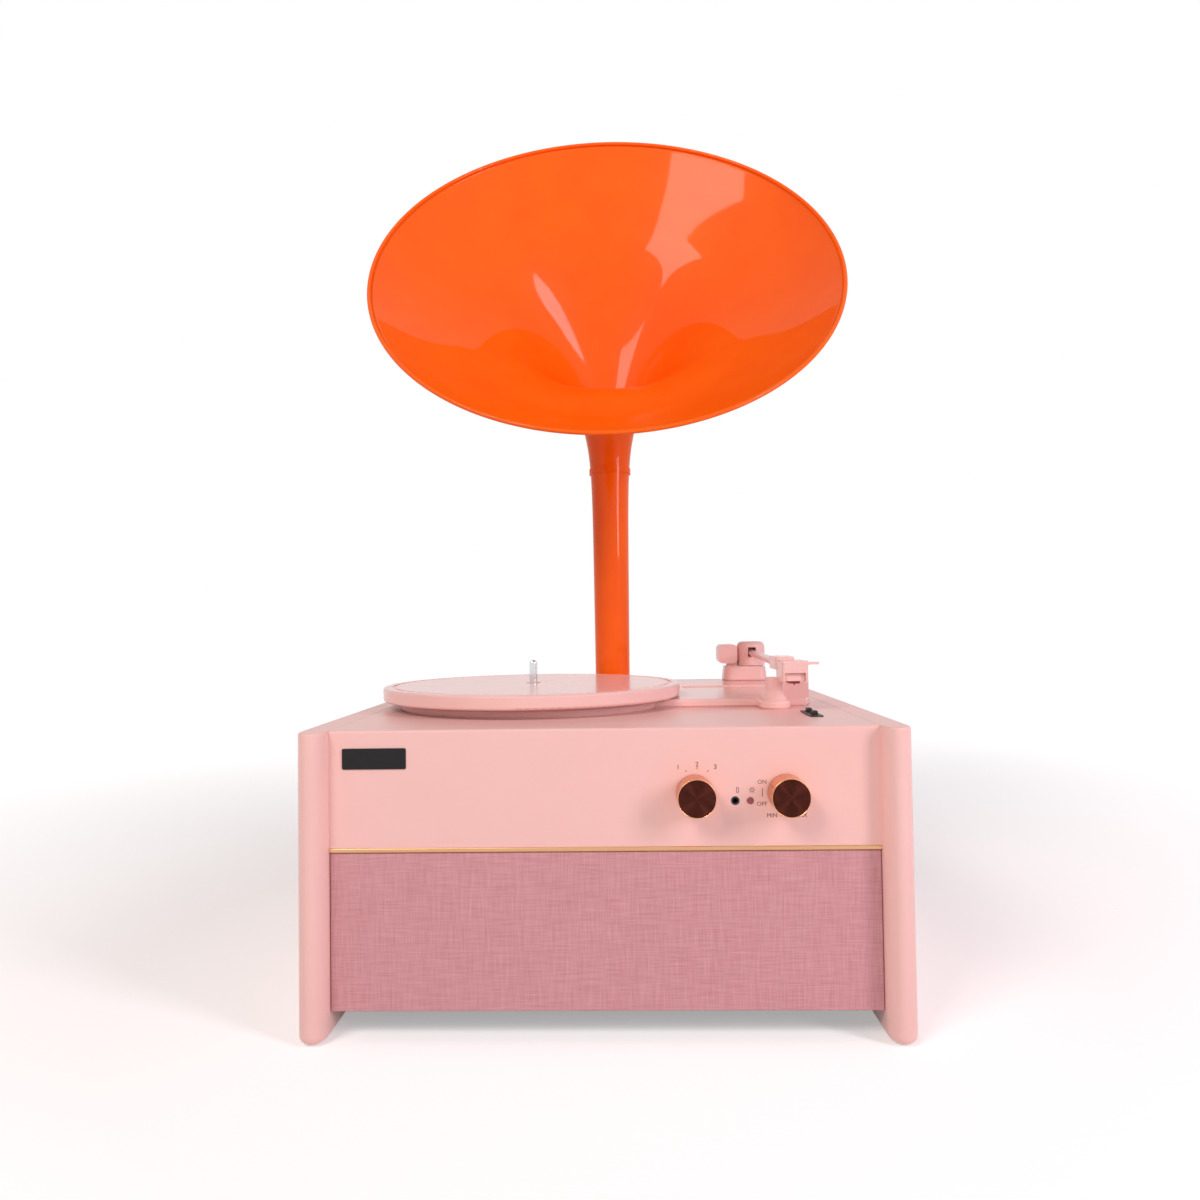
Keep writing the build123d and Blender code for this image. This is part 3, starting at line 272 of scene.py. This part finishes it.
# faint plating ripple over 3 mm
ripple = add(tree, "TexNoise", {"Vector": place, "Scale": 1 / 0.003, "Detail": 2.0})
ripple_sheen = add(tree, "MapRange", {"Value": ripple.outputs["Fac"], "To Min": 0.16, "To Max": 0.28})
shader = add(tree, "BsdfPrincipled", {"Base Color": linear("#c9c6c0"), "Metallic": 1.0,
                                      "Roughness": ripple_sheen.outputs["Result"]})
add(tree, "OutputMaterial", {"Surface": shader.outputs["BSDF"]})
dress(nickel_plate, "rca_jacks", "usb_socket", "source_switch", "volume_control", "source_shaft",
      "volume_shaft", "motor", "platter_bearing", "arm_pin")

# The knobs: turned from solid brass bar with a small chamfer, finely grooved round the side.
# Their front is spun in the lathe, which leaves rings, and is coloured dark brown as a painted dark
# reflection of the same brass.

dress(brushed_brass, "motor_pulley")

turned_brass, tree = start_material("turned_brass")
place = add(tree, "TexCoord").outputs["Object"]
# lathe grooves 0.5 mm apart along the knob's axis
grooves = add(tree, "TexWave", {"Vector": place, "Scale": 0.314 / 0.0005}, bands_direction="Y")
groove_sheen = add(tree, "MapRange", {"Value": grooves.outputs["Fac"], "To Min": 0.2, "To Max": 0.32})
groove_bump = add(tree, "Bump", {"Height": grooves.outputs["Fac"], "Strength": 0.15, "Distance": 0.0001})
shader = add(tree, "BsdfPrincipled", {"Base Color": linear("#e7a97c"), "Metallic": 1.0,
                                      "Roughness": groove_sheen.outputs["Result"],
                                      "Normal": groove_bump.outputs["Normal"]})
add(tree, "OutputMaterial", {"Surface": shader.outputs["BSDF"]})

# the same brass as the knob's side, with its dark reflection painted into a dark brown base colour
spun_face_dark_reflection, tree = start_material("spun_brass_face_painted_reflection")
place = add(tree, "TexCoord").outputs["Object"]
# the grain runs round the axis, and the painted dark reflection is uneven over 4 mm
round_grain = add(tree, "Tangent", direction_type="RADIAL", axis="Y")
reflection_tone_noise = add(tree, "TexNoise", {"Vector": place, "Scale": 1 / 0.004, "Detail": 2.0})
painted_reflection_colour = add(tree, "Mix", {"Factor": reflection_tone_noise.outputs["Fac"], "A": linear("#3c1c18"),
                                 "B": linear("#552a22")}, data_type="RGBA")
shader = add(tree, "BsdfPrincipled", {"Base Color": painted_reflection_colour.outputs["Result"], "Metallic": 1.0,
                                      "Roughness": 0.4, "Anisotropic": 0.97, "Anisotropic Rotation": 0.25,
                                      "Tangent": round_grain.outputs["Tangent"]})
add(tree, "OutputMaterial", {"Surface": shader.outputs["BSDF"]})


def turned_points(profile, x, z, steps=96):
    """Rings about an axis along y through (x, z), for each (r, y) of the profile:
    (x + r * cos a, y, z - r * sin a)."""
    a = np.linspace(0, 2 * math.pi, steps, endpoint=False)[None, :]
    r, y = (np.array(column)[:, None] for column in zip(*profile))
    return np.stack([x + r * np.cos(a), y + 0 * a, z - r * np.sin(a)], -1)


chamfer, face_depth = 0.0004, 0.0006
for knob, body in (("source_knob", "source_dial"), ("volume_knob", "volume_dial")):
    low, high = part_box(knob)
    x, z, radius = (low.x + high.x) / 2, (low.z + high.z) / 2, (high.x - low.x) / 2
    rim = [(radius - chamfer * (1 - math.sin(a)), low.y + chamfer * (1 - math.cos(a)))
           for a in np.linspace(0, math.pi / 2, 7)]
    front = [(0.0001, low.y + face_depth), (radius - face_depth, low.y + face_depth)]
    side = [(radius, y) for y in np.linspace(low.y + 0.002, high.y, 12)]
    turned = surface("turned_" + knob, turned_points(front + rim + side + [(0.0001, high.y)], x, z),
                     turned_brass, body, close_columns=True)
    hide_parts(knob)
    disc = [(r, low.y + 0.0001) for r in np.linspace(0.0001, radius - face_depth, 20)]
    disc.append((radius - 0.0005, low.y + 0.0005))
    surface("spun_face_" + knob, turned_points(disc, x, z), spun_face_dark_reflection, body,
            close_columns=True)

# Badge plate: a bare plate of black enamelled steel, pressed with a soft edge and glued on.

black_enamel, tree = start_material("black_enamel")
place = add(tree, "TexCoord").outputs["Object"]
# the enamel sags in waves of about 5 mm
sag = add(tree, "TexNoise", {"Vector": place, "Scale": 1 / 0.005, "Detail": 1.0})
sag_sheen = add(tree, "MapRange", {"Value": sag.outputs["Fac"], "To Min": 0.3, "To Max": 0.38})
shader = add(tree, "BsdfPrincipled", {"Base Color": linear("#0b090b"), "Specular IOR Level": 0.3,
                                      "Roughness": sag_sheen.outputs["Result"]})
add(tree, "OutputMaterial", {"Surface": shader.outputs["BSDF"]})

badge_x, badge_z, badge_wide, badge_high = -0.1579, 0.1925, 0.0445, 0.0145
badge_corner, badge_edge = 0.0012, 0.0004
face_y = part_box("front_panel")[0].y


def plate_points(x, y, z, wide, high, corner, edge):
    """Rings of a rounded rectangle: corners at (half - corner) plus corner * (cos a, sin a), drawn in
    by edge * (1 - cos b) and raised by edge * (1 + sin b) as b runs over the rounded rim. The last
    rings close the face."""
    a = (np.arange(40) // 10 * 90 + (np.arange(40) % 10) * 10) * math.pi / 180
    side_x = np.sign(np.cos(a + 1e-4)) * (wide / 2 - corner)
    side_z = np.sign(np.sin(a + 1e-4)) * (high / 2 - corner)
    rings = [(corner, 0.0)] + [(corner - edge * (1 - math.cos(b)), -edge - edge * math.sin(b))
                               for b in np.linspace(0, math.pi / 2, 6)]
    grid = [np.stack([x + side_x + r * np.cos(a), y + 0 * a + depth, z + side_z + r * np.sin(a)], -1)
            for r, depth in rings]
    middle = np.array([x, grid[-1][0, 1], z])
    return np.stack(grid + [middle + (grid[-1] - middle) * share for share in (0.99, 0.97, 0.001)])


badge = surface("badge_plate", plate_points(badge_x, face_y, badge_z, badge_wide, badge_high, badge_corner,
                                            badge_edge), black_enamel, "cabinet",
                close_columns=True)
badge.data.polygons.foreach_set("use_smooth", np.zeros(len(badge.data.polygons), bool))

# Marks round the knobs: brown screen-printing ink, in plain words and numbers.

ink, tree = start_material("brown_printing_ink")
place = add(tree, "TexCoord").outputs["Object"]
# the screen's mesh leaves the ink a little uneven over 0.3 mm
mesh_print = add(tree, "TexNoise", {"Vector": place, "Scale": 1 / 0.0003, "Detail": 1.0})
ink_colour = add(tree, "Mix", {"Factor": mesh_print.outputs["Fac"], "A": linear("#38191c"),
                               "B": linear("#4a2626")}, data_type="RGBA")
shader = add(tree, "BsdfPrincipled", {"Base Color": ink_colour.outputs["Result"], "Roughness": 0.5})
add(tree, "OutputMaterial", {"Surface": shader.outputs["BSDF"]})


scene = bpy.context.scene
film_thickness = 0.00004


def print_mark(name, corners, faces):
    """Lays flat faces over (x, z) on the front panel, a film's thickness in front of it."""
    mesh = bpy.data.meshes.new(name)
    mesh.from_pydata([(x, face_y - film_thickness, z) for x, z in corners], [], faces)
    mesh.materials.append(ink)
    mesh.update()
    piece = bpy.data.objects.new(name, mesh)
    scene.collection.objects.link(piece)
    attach(piece, "cabinet")


for name, words, x, z, height in [
        ("number_one", "1", 0.0520, 0.1848, 0.0046), ("number_two", "2", 0.0650, 0.1866, 0.0046),
        ("number_three", "3", 0.0775, 0.1848, 0.0046), ("word_on", "ON", 0.1091, 0.1742, 0.0040),
        ("word_off", "OFF", 0.1088, 0.1593, 0.0040), ("word_min", "MIN", 0.1155, 0.1514, 0.0040),
        ("word_max", "MAX", 0.1351, 0.1513, 0.0040)]:
    curve = bpy.data.curves.new(name, "FONT")
    curve.body, curve.size, curve.align_x, curve.align_y = words, height, "CENTER", "CENTER"
    curve.resolution_u = 3
    letters = bpy.data.objects.new(name + "_curve", curve)
    scene.collection.objects.link(letters)
    flat = bpy.data.meshes.new_from_object(letters.evaluated_get(bpy.context.evaluated_depsgraph_get()))
    corners = [(x + vertex.co.x, z + vertex.co.y) for vertex in flat.vertices]
    faces = [tuple(polygon.vertices) for polygon in flat.polygons]
    bpy.data.objects.remove(letters)
    print_mark(name, corners, faces)

line_width = 0.0004
for name, x0, z0, x1, z1 in [
        ("tick_one", 0.0570, 0.1828, 0.0578, 0.1816), ("tick_two", 0.0650, 0.1849, 0.0650, 0.1834),
        ("tick_three", 0.0729, 0.1827, 0.0720, 0.1814), ("power_line", 0.1092, 0.1700, 0.1092, 0.1641)]:
    across = Vector((z1 - z0, x0 - x1)).normalized() * line_width / 2
    print_mark(name, [(x0 - across.x, z0 - across.y), (x0 + across.x, z0 + across.y),
                      (x1 + across.x, z1 + across.y), (x1 - across.x, z1 - across.y)], [(0, 1, 2, 3)])

# above the jack a slim ring, and above the lamp a ring of rays
a = np.linspace(0, 2 * math.pi, 24, endpoint=False)
for name, x, z, half_wide, half_high in [("jack_sign", 0.0923, 0.1689, 0.0010, 0.0021),
                                         ("lamp_sign", 0.1022, 0.1688, 0.0013, 0.0013)]:
    rings = [(x + (half_wide - cut) * math.cos(b), z + (half_high - cut) * math.sin(b))
             for cut in (0, line_width) for b in a]
    print_mark(name, rings, [(i, (i + 1) % 24, (i + 1) % 24 + 24, i + 24) for i in range(24)])
ray_x, ray_z, ray_start, ray_end, ray_half = 0.1022, 0.1688, 0.0017, 0.0023, 0.0002
for i in range(8):
    c, s = math.cos(i * math.pi / 4), math.sin(i * math.pi / 4)
    corners = [(ray_x + along * c - across * s, ray_z + along * s + across * c)
               for along, across in ((ray_start, -ray_half), (ray_end, -ray_half), (ray_end, ray_half),
                                     (ray_start, ray_half))]
    print_mark(f"lamp_ray_{i}", corners, [(0, 1, 2, 3)])

# Signal lamp: a clear red polystyrene lens.

red_lens, tree = start_material("clear_red_polystyrene")
place = add(tree, "TexCoord").outputs["Object"]
# moulding flow seen as a 2 mm swirl
swirl = add(tree, "TexNoise", {"Vector": place, "Scale": 1 / 0.002, "Detail": 1.0})
swirl_sheen = add(tree, "MapRange", {"Value": swirl.outputs["Fac"], "To Min": 0.08, "To Max": 0.18})
shader = add(tree, "BsdfPrincipled", {"Base Color": linear("#8a0a12"), "IOR": 1.59,
                                      "Roughness": swirl_sheen.outputs["Result"], "Coat Weight": 0.5})
add(tree, "OutputMaterial", {"Surface": shader.outputs["BSDF"]})
dress(red_lens, "signal_lamp")

# Inside: the amplifier board with its heat sink, and the mains transformer.

green_board, tree = start_material("green_fibreglass_board")
place = add(tree, "TexCoord").outputs["Object"]
# tracks 2.5 mm apart under the solder mask
tracks = add(tree, "TexBrick", {"Vector": place, "Scale": 1 / 0.0025, "Color1": linear("#0f4a2a"),
                                "Color2": linear("#155c35"), "Mortar": linear("#1c7a48")})
shader = add(tree, "BsdfPrincipled", {"Base Color": tracks.outputs["Color"], "Roughness": 0.35})
add(tree, "OutputMaterial", {"Surface": shader.outputs["BSDF"]})
dress(green_board, "amplifier_board")

aluminium, tree = start_material("extruded_aluminium")
place = add(tree, "TexCoord").outputs["Object"]
# die lines 0.4 mm apart
die = add(tree, "Mapping", {"Vector": place, "Scale": (1 / 0.0004, 1 / 0.03, 1 / 0.0004)})
die_lines = add(tree, "TexNoise", {"Vector": die.outputs["Vector"], "Scale": 1.0, "Detail": 2.0})
die_sheen = add(tree, "MapRange", {"Value": die_lines.outputs["Fac"], "To Min": 0.3, "To Max": 0.5})
shader = add(tree, "BsdfPrincipled", {"Base Color": linear("#c4c6ca"), "Metallic": 1.0,
                                      "Roughness": die_sheen.outputs["Result"]})
add(tree, "OutputMaterial", {"Surface": shader.outputs["BSDF"]})
dress(aluminium, "heat_sink")

winding_tape, tree = start_material("yellow_polyester_tape")
place = add(tree, "TexCoord").outputs["Object"]
# wire turns show through the tape every 0.9 mm
turns = add(tree, "TexWave", {"Vector": place, "Scale": 0.3 / 0.0009}, bands_direction="Z")
turns_bump = add(tree, "Bump", {"Height": turns.outputs["Fac"], "Strength": 0.4, "Distance": 0.0003})
shader = add(tree, "BsdfPrincipled", {"Base Color": linear("#c79a3a"), "Roughness": 0.3,
                                      "Normal": turns_bump.outputs["Normal"]})
add(tree, "OutputMaterial", {"Surface": shader.outputs["BSDF"]})
dress(winding_tape, "transformer_coil")

# Deck, platter and arm: injection-moulded ABS in the cabinet's pink, out of a polished
# mould, so they are glossier than the lacquer.

pink_abs, tree = start_material("glossy_pink_abs")
place = add(tree, "TexCoord").outputs["Object"]
# slight sink and flow marks over 25 mm
flow = add(tree, "TexNoise", {"Vector": place, "Scale": 1 / 0.025, "Detail": 2.0})
flow_colour = add(tree, "Mix", {"Factor": flow.outputs["Fac"], "A": linear("#f6c9c3"),
                                "B": linear("#f8d0ca")}, data_type="RGBA")
flow_sheen = add(tree, "MapRange", {"Value": flow.outputs["Fac"], "To Min": 0.14, "To Max": 0.22})
flow_bump = add(tree, "Bump", {"Height": flow.outputs["Fac"], "Strength": 0.04, "Distance": 0.001})
shader = add(tree, "BsdfPrincipled", {"Base Color": flow_colour.outputs["Result"], "IOR": 1.54,
                                      "Specular IOR Level": 0.08,
                                      "Roughness": flow_sheen.outputs["Result"],
                                      "Normal": flow_bump.outputs["Normal"]})
add(tree, "OutputMaterial", {"Surface": shader.outputs["BSDF"]})
dress(pink_abs, "deck_plate", "platter", "arm_tower", "arm_cap", "arm_tube", "head_shell", "arm_rest",
      "horn_socket", "cartridge")

# Spindle: polished chrome. Belt: ground neoprene rubber. Stylus holder: dark red plastic.

chrome, tree = start_material("polished_chrome")
place = add(tree, "TexCoord").outputs["Object"]
# fine wear from records over 1 mm
wear = add(tree, "TexNoise", {"Vector": place, "Scale": 1 / 0.001, "Detail": 3.0})
wear_sheen = add(tree, "MapRange", {"Value": wear.outputs["Fac"], "To Min": 0.05, "To Max": 0.14})
shader = add(tree, "BsdfPrincipled", {"Base Color": linear("#dcdcdf"), "Metallic": 1.0,
                                      "Roughness": wear_sheen.outputs["Result"]})
add(tree, "OutputMaterial", {"Surface": shader.outputs["BSDF"]})
dress(chrome, "spindle")

rubber, tree = start_material("ground_neoprene")
place = add(tree, "TexCoord").outputs["Object"]
# talc and grinding dust in a 1 mm mottle
dust = add(tree, "TexNoise", {"Vector": place, "Scale": 1 / 0.001, "Detail": 4.0})
dust_colour = add(tree, "Mix", {"Factor": dust.outputs["Fac"], "A": linear("#131313"),
                                "B": linear("#262626")}, data_type="RGBA")
shader = add(tree, "BsdfPrincipled", {"Base Color": dust_colour.outputs["Result"], "Roughness": 0.75})
add(tree, "OutputMaterial", {"Surface": shader.outputs["BSDF"]})
dress(rubber, "drive_belt")

red_plastic, tree = start_material("dark_red_acetal")
place = add(tree, "TexCoord").outputs["Object"]
# moulded matt grain of 0.4 mm
matt = add(tree, "TexNoise", {"Vector": place, "Scale": 1 / 0.0004, "Detail": 2.0})
matt_sheen = add(tree, "MapRange", {"Value": matt.outputs["Fac"], "To Min": 0.25, "To Max": 0.4})
shader = add(tree, "BsdfPrincipled", {"Base Color": linear("#8a1230"),
                                      "Roughness": matt_sheen.outputs["Result"]})
add(tree, "OutputMaterial", {"Surface": shader.outputs["BSDF"]})
dress(red_plastic, "stylus")

# The horn: a spun steel bell, bent and welded to a tapered tube, filled, rubbed down and
# sprayed in high-gloss orange under clear lacquer. Its rim is rolled over a wire.

orange_lacquer, tree = start_material("gloss_orange_lacquer")
place = add(tree, "TexCoord").outputs["Object"]
# the wet film levels out to a long wave of about 40 mm
level = add(tree, "TexNoise", {"Vector": place, "Scale": 1 / 0.04, "Detail": 1.0})
level_colour = add(tree, "Mix", {"Factor": level.outputs["Fac"], "A": linear("#fc6002"),
                                 "B": linear("#ff6a06")}, data_type="RGBA")
level_bump = add(tree, "Bump", {"Height": level.outputs["Fac"], "Strength": 0.03, "Distance": 0.002})
shader = add(tree, "BsdfPrincipled", {"Base Color": level_colour.outputs["Result"], "Roughness": 0.35,
                                      "Specular IOR Level": 0.05, "Coat Weight": 0.3,
                                      "Coat Roughness": 0.05, "Coat IOR": 1.5,
                                      "Normal": level_bump.outputs["Normal"]})
add(tree, "OutputMaterial", {"Surface": shader.outputs["BSDF"]})

horn_x, horn_y = 0.004, 0.145
mouth_radius, mouth_height, mouth_reach = 0.225, 0.627, 0.1103
tilt = math.radians(33.3)
bend_length, wall, lip_radius = 0.14, 0.0018, 0.0019
share = np.linspace(0, 1, 801)
bend_angle = tilt + (math.pi / 2 - tilt) * (3 - 2 * share) * share ** 2
middle_angle = (bend_angle[1:] + bend_angle[:-1]) / 2
bend_step = bend_length / len(middle_angle)
bend_reach = np.concatenate([[0], np.cumsum(np.cos(middle_angle))]) * bend_step
bend_drop = np.concatenate([[0], np.cumsum(np.sin(middle_angle))]) * bend_step
straight = (mouth_reach - bend_reach[-1]) / math.cos(tilt)


def horn_centre(t):
    """The centre line at distance t from the mouth, and the direction square to it in the plane
    of the bend. It runs straight, then turns down by 3 u^2 - 2 u^3 of the bend's share u."""
    u = np.clip((t - straight) / bend_length, 0, 1)
    ahead, down = np.minimum(t, straight), np.maximum(t - straight - bend_length, 0)
    angle = np.interp(u, share, bend_angle)
    y = horn_y - mouth_reach + ahead * math.cos(tilt) + np.interp(u, share, bend_reach)
    z = mouth_height - ahead * math.sin(tilt) - np.interp(u, share, bend_drop) - down
    return y, z, np.sin(angle), np.cos(angle)


def horn_points(t, radius, steps):
    """Rings about the centre line: centre(t) + radius * (cos a * across + sin a * square)."""
    a = np.linspace(0, 2 * math.pi, steps, endpoint=False)[None, :]
    y, z, side, up = (value[:, None] for value in horn_centre(t))
    r = radius[:, None]
    return np.stack([horn_x + r * np.cos(a), y + r * np.sin(a) * side, z + r * np.sin(a) * up], -1)


def flare(t):
    """Inner radius: 16.6 mm + 2.5 mm * (1 - t / 430 mm), plus the brim, 40 mm * exp(-t / 40 mm), and
    the funnel, 165.9 mm * exp(-(t / 105 mm) ** 2)."""
    grown = 0.0166 + 0.0025 * np.maximum(1 - t / 0.43, 0)
    return grown + 0.04 * np.exp(-t / 0.04) + 0.1659 * np.exp(-(t / 0.105) ** 2)


bend_end = horn_centre(np.array([straight + bend_length]))[1][0]
whole = straight + bend_length + bend_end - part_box("horn_tube")[0].z
wall_t = whole * (np.linspace(1, 0, 230) ** 1.6)
wall_t = wall_t[wall_t > 0.0023]
wall_r = flare(wall_t)
outer_r = wall_r + wall * np.sqrt(1 + np.gradient(wall_r, wall_t) ** 2)
roll = np.linspace(0.95 * math.pi, -0.8 * math.pi, 18)
# the lip's wire lies in the middle of the wall, which is cut square at the mouth
lip_middle = mouth_radius + 0.00127
horn_t = np.concatenate([wall_t, -lip_radius * np.cos(roll), wall_t[::-1]])
horn_r = np.concatenate([outer_r, lip_middle + lip_radius * np.sin(roll), wall_r[::-1]])
horn = surface("spun_horn", horn_points(horn_t, horn_r, 192), orange_lacquer, "horn",
               close_rows=True, close_columns=True)
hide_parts("horn_bell", "horn_tube")
dress(orange_lacquer, "horn_ring")

# Stage: a pale floor that runs into white, soft boxes and the camera. Everything the camera
# or a mirror sees behind the object is plain white.

scene.view_settings.view_transform = "Standard"


def seen_directly(tree):
    """1 for rays from the camera, a mirror or glass, and 0 for rays that light a surface."""
    rays = add(tree, "LightPath").outputs
    seen = add(tree, "Math", {0: rays["Is Camera Ray"], 1: rays["Is Glossy Ray"]}, operation="MAXIMUM")
    return add(tree, "Math", {0: seen.outputs["Value"], 1: rays["Is Transmission Ray"]},
               operation="MAXIMUM").outputs["Value"]


pale_floor, tree = start_material("pale_floor")
plain = add(tree, "BsdfDiffuse", {"Color": linear("#f4f4f4")})
# the lift grows from 0.4 m to 1.6 m away, so that the floor runs into white and keeps its shadow
reach = add(tree, "VectorMath", {"Vector": add(tree, "TexCoord").outputs["Object"]}, operation="LENGTH")
glow = add(tree, "MapRange", {"Value": reach.outputs["Value"], "From Min": 0.4, "From Max": 1.6,
                              "To Min": 0.35, "To Max": 0.8})
lift = add(tree, "Emission", {"Color": (1, 1, 1, 1), "Strength": glow.outputs["Result"]})
both = add(tree, "AddShader", {0: plain.outputs["BSDF"], 1: lift.outputs["Emission"]})
shown = add(tree, "MixShader", {0: seen_directly(tree), 1: plain.outputs["BSDF"], 2: both.outputs["Shader"]})
add(tree, "OutputMaterial", {"Surface": shown.outputs["Shader"]})
mesh = bpy.data.meshes.new("floor")
mesh.from_pydata([(-6, -6, 0), (6, -6, 0), (6, 6, 0), (-6, 6, 0)], [], [(0, 1, 2, 3)])
mesh.materials.append(pale_floor)
floor = bpy.data.objects.new("floor", mesh)
scene.collection.objects.link(floor)
floor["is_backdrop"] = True

world = bpy.data.worlds.new("studio")
scene.world = world
world.use_nodes = True
tree = world.node_tree
tree.nodes.clear()
# the fill falls from the horizon to overhead, so that level faces stay a little darker
height = add(tree, "SeparateXYZ", {"Vector": add(tree, "TexCoord").outputs["Generated"]})
fall = add(tree, "MapRange", {"Value": height.outputs["Z"], "To Min": 0.66, "To Max": 0.1})
fill = add(tree, "Background", {"Color": linear("#f2ecf0"), "Strength": fall.outputs["Result"]})
white = add(tree, "Background", {"Color": (1, 1, 1, 1), "Strength": 1.0})
shown = add(tree, "MixShader", {0: seen_directly(tree), 1: fill.outputs["Background"],
                                2: white.outputs["Background"]})
add(tree, "OutputWorld", {"Surface": shown.outputs["Shader"]})

for name, place, size, power, code in [
        ("key_box", (-0.85, -1.3, 1.42), (0.7, 0.7), 15.5, "#fff4ec"),
        ("side_box", (1.3, -1.0, 0.9), (0.35, 0.9), 13, "#fff2fa")]:
    lamp = bpy.data.lights.new(name, "AREA")
    lamp.shape = "RECTANGLE"
    lamp.size, lamp.size_y = size
    lamp.energy = power
    lamp.color = linear(code)[:3]
    box = bpy.data.objects.new(name, lamp)
    box.location = place
    box.rotation_euler = (Vector((0, 0, 0.4)) - Vector(place)).to_track_quat("-Z", "Y").to_euler()
    scene.collection.objects.link(box)

view = bpy.data.cameras.new("camera")
view.lens, view.sensor_width = 25.485, 36.0
camera = bpy.data.objects.new("camera", view)
pitch, lean, swing = 0.0249, 0.0139, -0.0264
right = np.array([math.cos(swing), -math.sin(swing), 0.0])
level_ahead = np.array([math.sin(swing), math.cos(swing), 0.0])
up = np.array([0.0, 0.0, 1.0])
ahead = math.cos(pitch) * level_ahead + math.sin(pitch) * up
above = -math.sin(pitch) * level_ahead + math.cos(pitch) * up
camera_x = math.cos(lean) * right - math.sin(lean) * above
camera_y = math.sin(lean) * right + math.cos(lean) * above
turned = Matrix([list(row) for row in np.stack([camera_x, camera_y, -ahead], 1)]).to_4x4()
camera.matrix_world = Matrix.Translation((0.0156, -0.7733, 0.2856)) @ turned
scene.collection.objects.link(camera)
scene.camera = camera

low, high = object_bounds()
